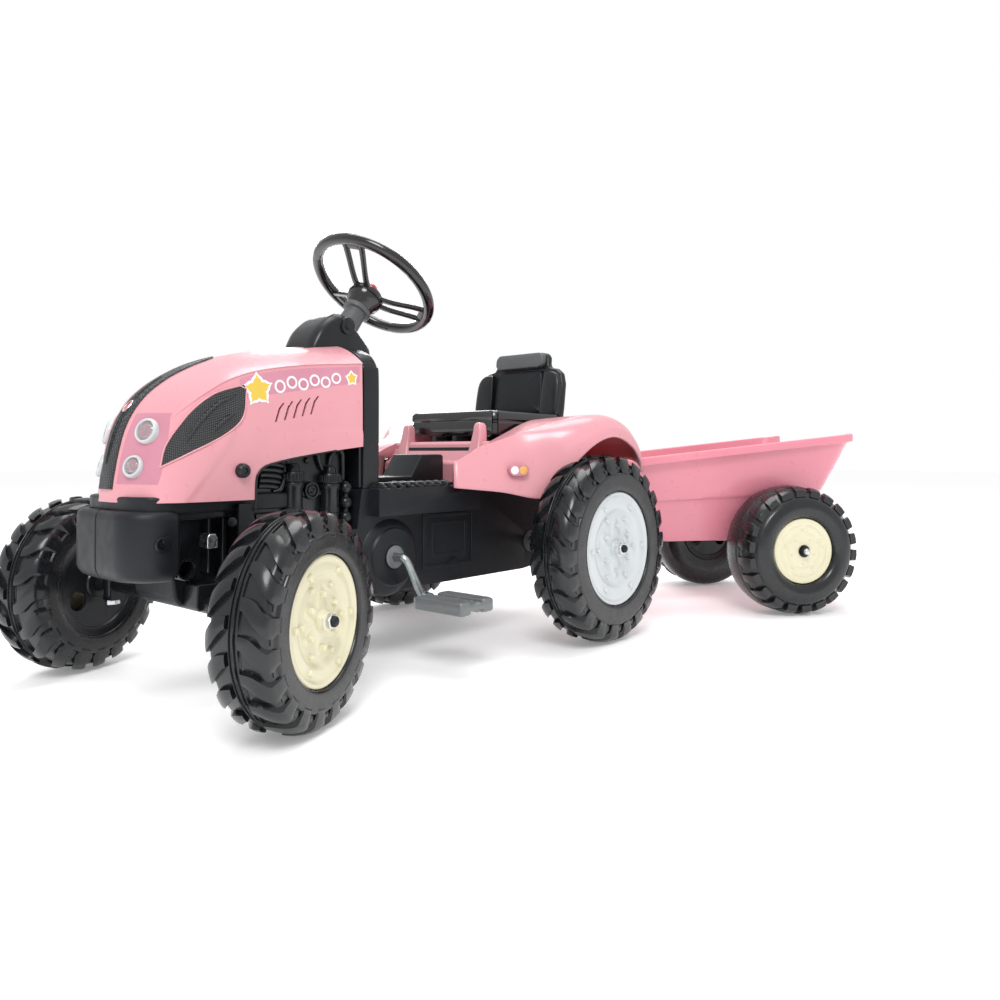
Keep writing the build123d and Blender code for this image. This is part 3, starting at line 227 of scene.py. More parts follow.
PALE = moulded("pale_grey", (0.52, 0.555, 0.565), (0.58, 0.61, 0.62), 0.32, 0.00003, 0.2)
GREY = moulded("grey_plastic", (0.125, 0.135, 0.138), (0.165, 0.175, 0.18), 0.30, 0.00003, 0.2)
SLEEVE = moulded("grey_sleeve", (0.075, 0.078, 0.082), (0.10, 0.103, 0.108), 0.36, 0.00003)
RED = moulded("red_ball", (0.72, 0.012, 0.012), (0.8, 0.02, 0.016), 0.16, 0.0, 0.5)
GOLD = moulded("star_gold", (0.66, 0.44, 0.045), (0.74, 0.52, 0.075), 0.45)
WHITE = moulded("print_white", (0.80, 0.79, 0.81), (0.86, 0.85, 0.87), 0.45)
AMBER = moulded("print_amber", (0.72, 0.34, 0.07), (0.80, 0.44, 0.12), 0.35)
BAND = moulded("print_band", (0.54, 0.215, 0.29), (0.59, 0.25, 0.33), 0.40, 0.0, 0.15)
WEAVE = woven("dark_weave", (0.008, 0.009, 0.010), (0.105, 0.110, 0.115), 0.0021)
ZINC = metal("zinc", (0.55, 0.57, 0.60), (0.68, 0.70, 0.72), 0.28)
STEEL = metal("coated_steel", (0.33, 0.37, 0.37), (0.44, 0.48, 0.48), 0.36)
CHAIN = metal("chain_steel", (0.12, 0.115, 0.11), (0.2, 0.19, 0.18), 0.45)
MIRROR = metal("reflector", (0.80, 0.81, 0.83), (0.88, 0.89, 0.90), 0.34)
LENS = glass("lens", (0.93, 0.95, 0.96), 0.04)

# ================= mesh tools =================


def finished(name, mesh, material, body, nodes=(), to=TRACTOR, smooth=35):
    """Puts a mesh in place, shades it, gives it its material and hangs it on its body."""
    mesh.transform(to)
    mesh.validate()
    mesh.update()
    piece = bpy.data.objects.new(name, mesh)
    bpy.context.scene.collection.objects.link(piece)
    mesh.materials.append(material)
    mesh.polygons.foreach_set("use_smooth", [True] * len(mesh.polygons))
    mesh.set_sharp_from_angle(angle=radians(smooth))
    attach(piece, body)
    if nodes:
        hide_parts(*nodes)
    return piece


def bevel(piece, width, segments=3, angle=28):
    """Rounds a piece's sharp edges by width millimetres."""
    made = piece.modifiers.new("soft_edges", "BEVEL")
    made.width, made.segments = width * MM, segments
    made.limit_method, made.angle_limit = "ANGLE", radians(angle)
    made.use_clamp_overlap = True
    made.harden_normals = False
    return piece


def thicken(piece, wall, offset=-1.0):
    made = piece.modifiers.new("wall", "SOLIDIFY")
    made.thickness, made.offset = wall * MM, offset
    return piece


def mesh_of(points, faces):
    mesh = bpy.data.meshes.new("shape")
    mesh.from_pydata([tuple(p) for p in points], [], faces)
    return mesh


def grid_faces(rows, columns, wrap_rows=False, wrap_columns=False):
    faces = []
    for i in range(rows if wrap_rows else rows - 1):
        for j in range(columns if wrap_columns else columns - 1):
            a, b = (i + 1) % rows, (j + 1) % columns
            faces.append((i * columns + j, a * columns + j, a * columns + b, i * columns + b))
    return faces


def outward(mesh):
    """Makes a closed mesh's faces point outward."""
    work = bmesh.new()
    work.from_mesh(mesh)
    bmesh.ops.remove_doubles(work, verts=work.verts, dist=1e-5)
    bmesh.ops.recalc_face_normals(work, faces=work.faces)
    work.to_mesh(mesh)
    work.free()
    return mesh


def loft(rings, closed=True, caps=True):
    """A skin over rings of equal length, with its two ends closed."""
    count = len(rings[0])
    points = [p for ring in rings for p in ring]
    faces = grid_faces(len(rings), count, wrap_columns=closed)
    if caps:
        faces.append(tuple(reversed(range(count))))
        last = (len(rings) - 1) * count
        faces.append(tuple(range(last, last + count)))
    return outward(mesh_of(points, faces))


def revolved(profile, steps=96, closed=True):
    """A profile of (radius, height) turned about local z."""
    points = [
        (r * cos(2 * pi * i / steps), r * sin(2 * pi * i / steps), z)
        for i in range(steps)
        for r, z in profile
    ]
    return outward(mesh_of(points, grid_faces(steps, len(profile), True, closed)))


def prism(outline, axis, low, high):
    """An outline of (u, v) points extruded along x, y or z between two places."""
    order = {"x": lambda u, v, w: (w, u, v), "y": lambda u, v, w: (u, w, v), "z": lambda u, v,
             w: (u, v, w)}
    place = order[axis]
    rings = [[place(u, v, w) for u, v in outline] for w in (low, high)]
    return loft(rings)


def block(low, high):
    (x0, y0, z0), (x1, y1, z1) = low, high
    return prism([(x0, y0), (x1, y0), (x1, y1), (x0, y1)], "z", z0, z1)


def joined(meshes):
    """Several meshes as one."""
    points, faces = [], []
    for mesh in meshes:
        start = len(points)
        points += [tuple(v.co) for v in mesh.vertices]
        faces += [tuple(start + k for k in face.vertices) for face in mesh.polygons]
        bpy.data.meshes.remove(mesh)
    return mesh_of(points, faces)


def flipped(mesh):
    """A mirror image on the other side of the tractor, kept with the first."""
    points = [tuple(v.co) for v in mesh.vertices]
    faces = [tuple(face.vertices) for face in mesh.polygons]
    count = len(points)
    points += [(-x, y, z) for x, y, z in points]
    faces += [tuple(count + k for k in reversed(face)) for face in faces]
    bpy.data.meshes.remove(mesh)
    return mesh_of(points, faces)


def smooth_line(points, per_span=8, closed=False):
    """A curve through points (Catmull-Rom), sampled evenly between them."""
    points = [Vector(p) for p in points]
    count = len(points)
    spans = count if closed else count - 1
    line = []
    for i in range(spans):
        if closed:
            a, b, c, d = (points[(i + k) % count] for k in (-1, 0, 1, 2))
        else:
            b, c = points[i], points[i + 1]
            a = points[i - 1] if i else b * 2 - c
            d = points[i + 2] if i + 2 < count else c * 2 - b
        for step in range(per_span):
            t = step / per_span
            line.append(
                ((b * 2) + (c - a) * t + (a * 2 - b * 5 + c * 4 - d) * t * t
                 + (b * 3 - a - c * 3 + d) * t**3) / 2
            )
    if not closed:
        line.append(points[-1].copy())
    return line


def tube(path, radius, sides=14):
    """A round bar along a path of points."""
    rings = []
    normal = None
    for i, point in enumerate(path):
        ahead = path[min(i + 1, len(path) - 1)] - path[max(i - 1, 0)]
        ahead.normalize()
        if normal is None:
            normal = ahead.orthogonal().normalized()
        normal = (normal - ahead * normal.dot(ahead)).normalized()
        across = ahead.cross(normal)
        size = radius(i / (len(path) - 1)) if callable(radius) else radius
        rings.append(
            [point + (normal * cos(2 * pi * k / sides) + across * sin(2 * pi * k / sides)) * size
             for k in range(sides)]
        )
    return loft(rings)


def rounded(half_u, half_v, radius, steps=6, centre=(0, 0)):
    """The outline of a rectangle with round corners."""
    outline = []
    for k, (su, sv) in enumerate(((1, 1), (-1, 1), (-1, -1), (1, -1))):
        for step in range(steps + 1):
            turn = (k + step / steps) * pi / 2
            outline.append(
                (centre[0] + su * (half_u - radius) + radius * cos(turn),
                 centre[1] + sv * (half_v - radius) + radius * sin(turn))
            )
    return outline


def polygon(sides, radius, turn=0.0, centre=(0, 0)):
    return [
        (centre[0] + radius * cos(turn + 2 * pi * k / sides),
         centre[1] + radius * sin(turn + 2 * pi * k / sides))
        for k in range(sides)
    ]


def applied(piece):
    """The piece's mesh with its modifiers applied, and the piece removed."""
    bpy.context.view_layer.update()
    graph = bpy.context.evaluated_depsgraph_get()
    mesh = bpy.data.meshes.new_from_object(piece.evaluated_get(graph))
    bpy.data.objects.remove(piece)
    return mesh


def cut(mesh, *cutters):
    """A closed mesh less some others, in the same frame."""
    body = bpy.data.objects.new("body", mesh)
    bpy.context.scene.collection.objects.link(body)
    tools = []
    for cutter in cutters:
        tool = bpy.data.objects.new("tool", cutter)
        bpy.context.scene.collection.objects.link(tool)
        made = body.modifiers.new("cut", "BOOLEAN")
        made.operation, made.object, made.solver = "DIFFERENCE", tool, "EXACT"
        tools.append(tool)
    result = applied(body)
    for tool in tools:
        bpy.data.objects.remove(tool)
    return result


def monotone(knots, x):
    """A smooth curve through (x, value) knots that never overshoots them."""
    knots = sorted(knots)
    if x <= knots[0][0]:
        return knots[0][1]
    if x >= knots[-1][0]:
        return knots[-1][1]
    slopes = [(b[1] - a[1]) / (b[0] - a[0]) for a, b in zip(knots, knots[1:])]
    i = max(k for k in range(len(slopes)) if knots[k][0] <= x)

    def tangent(k):
        if k in (0, len(slopes)):
            return slopes[min(k, len(slopes) - 1)]
        a, b = slopes[k - 1], slopes[k]
        return 0 if a * b <= 0 else 2 * a * b / (a + b)

    (x0, y0), (x1, y1) = knots[i], knots[i + 1]
    h = x1 - x0
    t = (x - x0) / h
    return (
        y0 * (1 + 2 * t) * (1 - t) ** 2 + h * tangent(i) * t * (1 - t) ** 2
        + y1 * t * t * (3 - 2 * t) + h * tangent(i + 1) * t * t * (t - 1)
    )


def ease(t):
    t = max(0.0, min(1.0, t))
    return t * t * (3 - 2 * t)


# ================= wheels =================


def carcass(radius, half, bead, ribs, base):
    """The tyre's skin from its outer bead over the tread to the inner side."""
    outer = [
        (bead + 0.2, half - 12),
        (bead + 0.6, half - 5),
        (bead + 4, half - 1.4),
        (0.76 * radius, half - 0.6),
        (0.80 * radius, half - 1.2),
        (0.815 * radius, half - 4),
        (0.87 * radius, half - 5),
        (0.92 * radius, half - 9),
        (base - 1.6, half * 0.58),
        (base - 0.3, half * 0.3),
    ]
    crown = []
    for step in range(-20, 21):
        z = step * half * 0.011
        swell = max(0.0, cos(ribs * pi * z / (half * 0.21))) ** 2 if abs(z) < half * 0.2 else 0
        crown.append((base + 2.6 * swell, z))
    side = [Vector((r, z, 0)) for r, z in outer]
    skin = [(p.x, p.y) for p in smooth_line(side, 4)]
    return skin + [(r, -z) for r, z in crown] + [(r, -z) for r, z in reversed(skin)]


def inner_web(bead, half, hub):
    """The closed inner side of the wheel, with its three round holes and two steps."""
    ring = revolved(
        [
            (bead + 0.5, -half + 12), (bead + 0.5, -half + 4), (bead - 3, -half + 6),
            (bead * 0.86, -half + 7), (bead * 0.84, -half + 9.5), (bead * 0.3, -half + 9.5),
            (bead * 0.28, -half + 7), (hub, -half + 7), (hub, -half + 13), (bead - 3, -half + 13),
        ]
    )
    holes = []
    for k in range(3):
        turn = 2 * pi * k / 3
        centre = (bead * 0.57 * cos(turn), bead * 0.57 * sin(turn))
        holes.append(prism(polygon(32, bead * 0.19, 0, centre), "z", -half, -half + 20))
    return cut(ring, *holes)


def tractor_lug(radius, half, base, start, pitch, side, sweep):
    """One curved tread bar from beside the centre ribs down over the shoulder."""
    rings = []
    for step in range(13):
        t = step / 12
        over = max(0.0, t - 0.72) / 0.28
        reach = min(1.0, t / 0.72)
        z = half * (0.20 + 0.70 * reach) + over * half * 0.085
        top = radius - 7.5 * reach**3 - 13.5 * over**1.1
        low = base - 9 * reach**3 - 13 * over
        turn = start + sweep * reach**1.5 * (1 - 0.12 * over)
        wide = pitch * (0.17 + 0.13 * ease(reach * 1.6)) * (1 - 0.25 * over)
        foot = wide * 1.18
        ring = []
        for angle, r in (
            (-foot, low - 2), (-wide, top - 0.7), (-wide * 0.4, top), (wide * 0.4, top),
            (wide, top - 0.7), (foot, low - 2),
        ):
            ring.append((r * cos(turn + angle), r * sin(turn + angle), side * z))
        rings.append(ring)
    return loft(rings)


def sidewall_marks(radius, half, count):
    """Short raised dashes round the outer sidewall."""
    marks = []
    for k in range(count):
        turn = 2 * pi * k / count
        rings = []
        for r, z in ((0.835, 5.6), (0.835, 3.2), (0.868, 3.6), (0.868, 6.4)):
            wide = pi / count * 0.52
            rings.append(
                [(radius * r * cos(turn + a), radius * r * sin(turn + a), half - z) for a in (-wide, 0,
                    wide)]
            )
        marks.append(loft(rings))
    return marks


def tractor_tyre(name, to, body, node, radius, half, bead, lugs):
    base = radius - 6.5
    skin = carcass(radius, half, bead, 3, base)
    parts = [revolved(skin, 120, closed=False)]
    pitch = 2 * pi / lugs
    for side in (1, -1):
        for k in range(lugs):
            start = pitch * (k + (0.5 if side < 0 else 0))
            parts.append(tractor_lug(radius, half, base, start, pitch, side, pitch * 0.62))
    parts += sidewall_marks(radius, half, 2 * lugs)
    tread = finished(name + "_tread", joined(parts), TYRE, body, (node,), to, 40)
    bevel(tread, 1.1, 2, 35)
    web = finished(name + "_web", inner_web(bead, half, 12), SATIN, body, (), to, 30)
    bevel(web, 1.0, 2)


def trailer_tyre(name, to, body, node, radius, half, bead, lugs):
    """A smooth rolling band inside, short shoulder bars outside, a round sidewall."""
    outer = [
        (bead + 0.2, half - 24), (bead + 1, half - 12), (bead + 7, half - 3.5), (bead + 20, half - 0.3),
        (bead + 34, half - 3), (bead + 41, half - 9), (bead + 46, half - 15),
    ]
    skin = [(p.x, p.y) for p in smooth_line([Vector((r, z, 0)) for r, z in outer], 6)]
    skin += [(radius - 6.5, half * 0.42), (radius - 5.5, half * 0.16), (radius - 2.6, half * 0.13)]
    skin += [(radius - 2.2, half * 0.06), (radius - 4, half * 0.04), (radius - 4, half * 0.01)]
    skin += [(radius - 1.6, -half * 0.01), (radius - 0.2, -half * 0.2), (radius - 0.4, -half * 0.55)]
    skin += [(radius - 3, -half * 0.8), (radius - 9, -half * 0.93), (radius - 20, -half + 0.3)]
    skin += [(bead + 24, -half + 3), (bead + 8, -half + 2), (bead + 1, -half + 6),
             (bead + 0.2, -half + 12)]
    parts = [revolved(skin, 120, closed=False)]
    pitch = 2 * pi / lugs
    for k in range(lugs):
        rings = []
        for step in range(9):
            t = step / 8
            z = half * (0.17 + 0.66 * t)
            top = radius - 0.3 - 8 * t**3
            turn = pitch * k + pitch * 0.18 * t
            wide = pitch * (0.20 + 0.11 * ease(t * 1.5))
            rings.append(
                [(r * cos(turn + a), r * sin(turn + a), z) for a, r in (
                    (-wide * 1.15, top - 12), (-wide, top - 0.6), (0, top), (wide, top - 0.6),
                    (wide * 1.15, top - 12))]
            )
        parts.append(loft(rings))
    tread = finished(name + "_tread", joined(parts), TYRE, body, (node,), to, 40)
    bevel(tread, 1.1, 2, 35)
    web = finished(name + "_web", inner_web(bead, half, 12), SATIN, body, (), to, 30)
    bevel(web, 1.0, 2)


def dished(profile, steps=144, lobes=None):
    """A round cover as a height field: profile gives (radius, height) outward."""
    points, rows = [], []
    for r, z in profile:
        for i in range(steps):
            turn = 2 * pi * i / steps
            lift = lobes(r, turn) if lobes else 0
            points.append((r * cos(turn), r * sin(turn), z + lift))
        rows.append(r)
    return mesh_of(points, grid_faces(len(rows), steps, wrap_columns=True))


def nub(centre_r, turn, low, high, size, corners=4):
    """A small raised block on a wheel cover."""
    centre = (centre_r * cos(turn), centre_r * sin(turn))
    rings = []
    for z, grow in ((low, 1.12), (high - 1, 1.0), (high, 0.8)):
        rings.append([(u, v, z) for u, v in polygon(corners, size * grow, turn + pi / corners, centre)])
    return loft(rings)


def wheel_nut(name, to, body, start, size, nodes, cap=BLACK, nut=ZINC):
    """A hexagon nut under a domed cap."""
    hexagon = loft(
        [[(u, v, z) for u, v in polygon(6, size * grow, 0.3)] for z, grow in
         ((start, 0.94), (start + 1, 1.0), (start + 6, 1.0), (start + 7, 0.92))]
    )
    washer = revolved([(size * 0.5, start - 1.2), (size * 1.25, start - 1.2), (size * 1.25, start + 0.2),
                       (size * 0.5, start + 0.2)], 48)
    bevel(finished(name + "_nut", joined([hexagon, washer]), nut, body, nodes, to, 30), 0.5, 2)
    dome = [(0.01, start + 12.9), (2.6, start + 12.7), (4.9, start + 11.6), (6.2, start + 9.6),
            (6.6, start + 6.5)]
    dome = [(p.x, p.y) for p in smooth_line([Vector((r, z, 0)) for r, z in dome], 5)] + [(0.01,
        start + 6.4)]
    finished(name + "_cap", revolved(dome, 40), cap, body, (), to, 40)


def tractor_rim(name, to, body, node, half, bead, material):
    """The dished cover with its stepped lip, lobed centre and two rings of nubs."""
    face = half - 4
    step_r = 0.62 * bead

    def lobes(r, turn):
        inside = ease((0.56 * bead - r) / (0.10 * bead))
        petals = 0.5 + 0.5 * cos(6 * turn)
        hollow = ease((r - 0.20 * bead) / (0.12 * bead)) * inside
        return 2.6 * inside * ease(petals * 1.6 + (0.34 * bead - r) / (0.14 * bead)) - 0.8 * hollow

    profile = [
        (bead - 0.2, face - 9), (bead - 0.4, face - 1.6), (bead - 1.6, face - 0.3), (bead - 4, face),
        (bead - 6, face - 0.6), (bead - 7, face - 2.6), (bead - 9.5, face - 3.2), (bead - 12, face - 3.0),
        (step_r + 9, face - 2.6), (step_r + 6.5, face - 3.2), (step_r + 4.5, face - 5.6),
        (step_r + 1, face - 7.4),
    ]
    inner = step_r - 1
    while inner > 13:
        profile.append((inner, face - 7.6))
        inner -= 1.6
    profile += [(12, face - 3), (11.4, face + 1.2), (9.6, face + 2), (6.4, face + 2), (6.2, face - 8)]
    cover = finished(name + "_cover", dished(profile, 144, lobes), material, body, (node,), to, 50)
    thicken(cover, 2.2, 1.0)
    nubs = []
    for k in range(6):
        turn = 2 * pi * (k + 0.5) / 6
        nubs.append(nub(0.80 * bead, turn, face - 5, face + 1.4, 4.6))
        nubs.append(nub(0.40 * bead, turn + pi / 6, face - 8, face + 0.6, 4.4))
        nubs.append(nub(0.565 * bead, turn, face - 9, face - 2.4, 3.4, 8))
    bevel(finished(name + "_nubs", joined(nubs), material, body, (), to, 30), 0.7, 3)


def trailer_rim(name, to, body, node, half, bead, recess, material):
    """A flat disc with shallow embossed arcs and dots round a raised middle ring."""
    face = half - recess

    def emboss(r, turn):
        sector = (turn / (2 * pi / 5)) % 1
        arc = ease((0.42 - abs(sector - 0.5)) / 0.05)
        ring = ease((r - 0.50 * bead) / 2.2) * ease((0.80 * bead - r) / 2.2)
        middle = ease((r - 0.56 * bead) / 2.2) * ease((0.74 * bead - r) / 2.2)
        narrow = ease((0.34 - abs(sector - 0.5)) / 0.05)
        return 1.5 * arc * ring - 1.3 * middle * narrow

    profile = [
        (bead - 0.2, face - 10), (bead - 0.4, face - 1.2), (bead - 1.8, face), (bead - 5, face - 0.2),
        (bead - 6.5, face - 1.8), (bead - 8, face - 2.2),
    ]
    inner = bead - 9
    while inner > 17:
        profile.append((inner, face - 2.2))
        inner -= 1.1
    profile += [(16, face - 1.2), (14.5, face + 0.2), (12, face + 0.4), (9.5, face - 0.6),
                (8, face + 1.6), (6.2, face + 1.8), (6.1, face - 8)]
    cover = finished(name + "_cover", dished(profile, 180, emboss), material, body, (node,), to, 50)
    thicken(cover, 2.2, 1.0)
    dots = []
    for k in range(5):
        turn = 2 * pi * k / 5
        dots.append(nub(0.62 * bead, turn, face - 4, face - 0.4, 2.4, 12))
        dots.append(nub(0.40 * bead, turn + pi / 5, face - 4, face - 0.6, 2.2, 12))
    bevel(finished(name + "_dots", joined(dots), material, body, (), to, 30), 0.5, 2)


front_low, front_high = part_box("front_tyre_left")
FRONT_R = (front_high.z - front_low.z) / 2 / MM
rear_low, rear_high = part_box("rear_tyre_left")
REAR_R = (rear_high.z - rear_low.z) / 2 / MM
WHEEL_HALF = (rear_high.x - rear_low.x) / 2 / MM
trailer_low, trailer_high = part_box("trailer_tyre_left")
TRAILER_R = (trailer_high.z - trailer_low.z) / 2 / MM
TRAILER_HALF = 48
FRONT_BEAD, REAR_BEAD, TRAILER_BEAD = 75, 94, 63
TRAILER_RECESS = 10
NUT_START = WHEEL_HALF - 4 + 2.6

for side, hand in ((1, "left"), (-1, "right")):
    to = wheel_axes(f"front_tyre_{hand}", f"front_{hand}_spin", side)
    body = f"front_wheel_{hand}"
    tractor_tyre(f"front_{hand}", to, body, f"front_tyre_{hand}", FRONT_R, WHEEL_HALF, FRONT_BEAD, 20)
    tractor_rim(f"front_{hand}_rim", to, body, f"front_rim_{hand}", WHEEL_HALF, FRONT_BEAD, CREAM)
    wheel_nut(f"front_{hand}", to, f"{hand}_knuckle", NUT_START, 9.5, (f"front_cap_nut_{hand}",))
    to = wheel_axes(f"rear_tyre_{hand}", "rear_axle_spin", side)
    body = "rear_wheel_left" if side > 0 else "rear_drive"
    tractor_tyre(f"rear_{hand}", to, body, f"rear_tyre_{hand}", REAR_R, WHEEL_HALF, REAR_BEAD, 22)
    tractor_rim(f"rear_{hand}_rim", to, body, f"rear_rim_{hand}", WHEEL_HALF, REAR_BEAD, PALE)
    wheel_nut(f"rear_{hand}", to, "rear_drive", NUT_START, 11, ("rear_cap_nuts",))
    to = wheel_axes(f"trailer_tyre_{hand}", f"trailer_{hand}_spin", side)
    body = f"trailer_wheel_{hand}"
    trailer_tyre(f"trailer_{hand}", to, body, f"trailer_tyre_{hand}", TRAILER_R, TRAILER_HALF,
                 TRAILER_BEAD, 22)
    trailer_rim(f"trailer_{hand}_rim", to, body, f"trailer_rim_{hand}", TRAILER_HALF, TRAILER_BEAD,
                TRAILER_RECESS, CREAM)
    start = TRAILER_HALF - TRAILER_RECESS + 2.6
    wheel_nut(f"trailer_{hand}", to, "trailer", start, 9.5, ("trailer_axle_caps",), ZINC, BLACK)

# ================= bonnet =================
# Stations along the bonnet: Y, half-width at the foot and at the crease, crease and crown height.
STATIONS = [
    (-93.5, 17, 14, 268, 274),
    (-90, 26, 15, 290, 301),
    (-84, 41, 24, 306, 326),
    (-78, 56, 34, 321, 345),
    (-68, 80, 50, 337, 365),
    (-54, 88, 68, 350, 384),
    (-39, 93, 84, 367, 398),
    (-15, 98, 94, 388, 415),
    (20, 100, 98, 409, 433),
    (60, 100, 100, 422, 447),
    (130, 100, 100, 434, 463),
    (228, 100, 100, 444, 478),
]
BONNET_FOOT = 254.5
BONNET_WALL = 3
NOSE_Y, DASH_Y = STATIONS[0][0], STATIONS[-1][0]
CROWN_POWER = 2.4


def section(y):
    return [monotone([(s[0], s[k]) for s in STATIONS], y) for k in range(1, 5)]


def ledge_height(y):
    """The height of the long step that runs back along the bonnet's side."""
    return 336 + (y - 90) * 0.085


def relief(y, z):
    """What stands proud of the bonnet's side: the rear step and the slanting crease."""
    step = 1.6 * ease((ledge_height(y) - z) / 3) * ease((y - 66) / 40) * ease((z - 300) / 12)
    foot, top = Vector((-40, 256)), Vector((13, 326))
    run = top - foot
    t = max(0.0, min(1.0, (Vector((y, z)) - foot).dot(run) / run.length_squared))
    away = (Vector((y, z)) - foot - run * t).length
    side = (y - foot.x) * run.y - (z - foot.y) * run.x
    crease = 2.0 * ease(1 - away / 26) * (1 if side < 0 else ease(1 - away / 5))
    return step + crease * ease((y + 62) / 20)


def half_width(y, z):
    """The bonnet's half-width at a height."""
    foot, crease_w, crease, crown = section(y)
    if z > crown:
        return 0.0
    if z > crease:
        return crease_w * (1 - (z - crease) / (crown - crease)) ** (1 / CROWN_POWER)
    share = (z - BONNET_FOOT) / (crease - BONNET_FOOT)
    return foot + (crease_w - foot) * share + 5 * sin(pi * share) * ease((y + 60) / 50) * 0.3


def onto_bonnet(point, direction, reach=40, proud=0.0):
    """The place where a line through the bonnet leaves its skin, plus proud millimetres."""
    direction = Vector(direction).normalized()
    low, high = -reach, reach
    for _ in range(26):
        trial = (low + high) / 2
        p = Vector(point) + direction * trial
        inside = NOSE_Y <= p.y <= DASH_Y and abs(p.x) < half_width(p.y, p.z)
        low, high = (trial, high) if inside else (low, trial)
    return Vector(point) + direction * (low + proud)


def bonnet_ring(y, inset, foot_z, shift):
    foot, crease_w, crease, crown = section(y)
    side = []
    for step in range(29):
        share = step / 28
        z = BONNET_FOOT + (crease - 1.2 - BONNET_FOOT) * share
        x = half_width(y, z) + (relief(y, z) if not inset else 0) - inset
        side.append((max(x, 1), foot_z if step == 0 else z - inset * 0.5))
    brow = 1.4 * ease((y + 70) / 60)
    side.append((crease_w - inset, crease - 0.8 - inset * 0.5))
    top = []
    for step in range(17):
        t = cos(step / 16 * pi / 2) ** 0.9
        x = (crease_w + brow - inset) * t
        z = crease + (crown - crease) * (1 - t**CROWN_POWER) - inset
        top.append((x, z))
    half = side + top
    ring = [(x, y + shift, z) for x, z in half]
    return ring + [(-x, y + shift, z) for x, z in reversed(half[:-1])]


def bonnet_block(inset, foot_z, shift=0.0):
    ys = []
    for (a, *_), (b, *_) in zip(STATIONS, STATIONS[1:]):
        steps = max(3, round((b - a) / 4.5))
        ys += [a + (b - a) * k / steps for k in range(steps)]
    ys.append(DASH_Y)
    return loft([bonnet_ring(y, inset, foot_z, shift) for y in ys])


engine_bay = [(53, 240), (53, 277), (56, 288), (63, 295), (76, 300), (120, 309), (180, 318), (240, 325),
              (240, 240)]
NOTCH_Y, NOTCH_HALF_W = 171, 43
vents = []
for k in range(5):
    y, z = 80 + k * 14, 355 + k * 3
    slot = [(y, z), (y + 3, z - 0.5), (y + 9, z + 17), (y + 15, z + 25), (y + 13, z + 26),
            (y + 6, z + 18)]
    vents.append(prism(slot, "x", -120, 120))
shell = cut(
    bonnet_block(0, BONNET_FOOT),
    bonnet_block(BONNET_WALL, BONNET_FOOT - 10, BONNET_WALL),
    prism(engine_bay, "x", -130, 130),
    prism([(-NOTCH_HALF_W, NOTCH_Y), (NOTCH_HALF_W, NOTCH_Y), (NOTCH_HALF_W, 300), (-NOTCH_HALF_W, 300)],
          "z", 400, 520),
    *vents,
)
bonnet = finished("bonnet_shell", shell, PINK, "bonnet", ("bonnet",), TRACTOR, 24)

trim = [Vector((0, y, z)) for y, z in engine_bay[:-1]]
bay_edge = smooth_line([Vector((half_width(p.y, p.z) + 0.6, p.y, p.z)) for p in trim if p.y < 229], 5)
finished("bay_trim", flipped(tube(bay_edge, 1.5, 10)), SATIN, "bonnet", (), TRACTOR, 60)

hinge_low, hinge_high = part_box("bonnet_hinge_pins")
hinge = (hinge_low + hinge_high) / 2 - Vector((beam.x, beam.y, 0))
lug_y, lug_z = hinge.y / MM, hinge.z / MM
lug = prism([(lug_y - 11, 257), (lug_y - 11, lug_z + 9), (lug_y + 4, lug_z + 8), (lug_y + 6, 257)], "x",
            9, 17)
bevel(finished("bonnet_lugs", flipped(lug), PINK, "bonnet", (), TRACTOR, 30), 0.8, 2)

# ---- dark woven strip down the middle of the nose ----
STRIP_HALF_W, STRIP_END_Y, STRIP_FOOT = 17, 50, 271


def strip_line():
    """The strip's middle line: up the nose's flat, then along the crown."""
    line = [Vector((0, NOSE_Y + 0.6, z)) for z in (STRIP_FOOT, 273)]
    line += [Vector((0, s[0], s[4])) for s in STATIONS[1:9]]
    line.append(Vector((0, STRIP_END_Y, section(STRIP_END_Y)[3])))
    return smooth_line(line, 9)


def strip_rows(line, half_at, lifts):
    """Rows across the strip, each point pushed out to the bonnet's skin."""
    rows = []
    for i, point in enumerate(line):
        ahead = (line[min(i + 1, len(line) - 1)] - line[max(i - 1, 0)]).normalized()
        out = Vector((0, -ahead.z, ahead.y))
        if out.y > 0 and ahead.y < 0:
            out = -out
        start = point - out * 14
        row = []
        for share, lift in lifts:
            x = share * half_at(i / (len(line) - 1))
            row.append(onto_bonnet(start + X * x, out, 30, lift))
        rows.append(row)
    return rows


def strip_half(t):
    return STRIP_HALF_W * sqrt(max(0.02, 1 - max(0.0, (t - 0.88) / 0.12) ** 2))


centre_line = strip_line()
edge = [(-1, -1.2), (-0.985, 1.2), (-0.94, 2.0)]
across = edge + [(k / 5, 2.2) for k in range(-4, 5)] + [(-share, lift) for share, lift in reversed(edge)]
rows = strip_rows(centre_line, strip_half, across)
strip = mesh_of([p for row in rows for p in row], grid_faces(len(rows), len(rows[0])))
finished("nose_strip", outward(strip), WEAVE, "bonnet", ("bonnet_strip",), TRACTOR, 50)
for name, offset in (("left", 1), ("right", -1)):
    ridge = [row[len(row) // 2] for row in rows[18:-20]]
    ridge = [p + X * (offset * 3.2 * sin(pi * k / len(ridge)) ** 0.6) for k, p in enumerate(ridge)]
    finished(f"strip_ridge_{name}", tube(ridge, 0.9, 8), SATIN, "bonnet", (), TRACTOR, 60)

badge_at = next(row[len(row) // 2] for row in rows if row[len(row) // 2].y > -66)
badge_out = Vector((0, -0.78, 0.62))


def spun(profile, place, direction, steps=40):
    """A turned shape standing at a place in the tractor's frame, its axis along direction."""
    mesh = revolved(profile, steps)
    z_dir = Vector(direction).normalized()
    x_dir = z_dir.orthogonal().normalized()
    mesh.transform(axes(Vector(place), x_dir, z_dir.cross(x_dir), z_dir, 1.0))
    return mesh


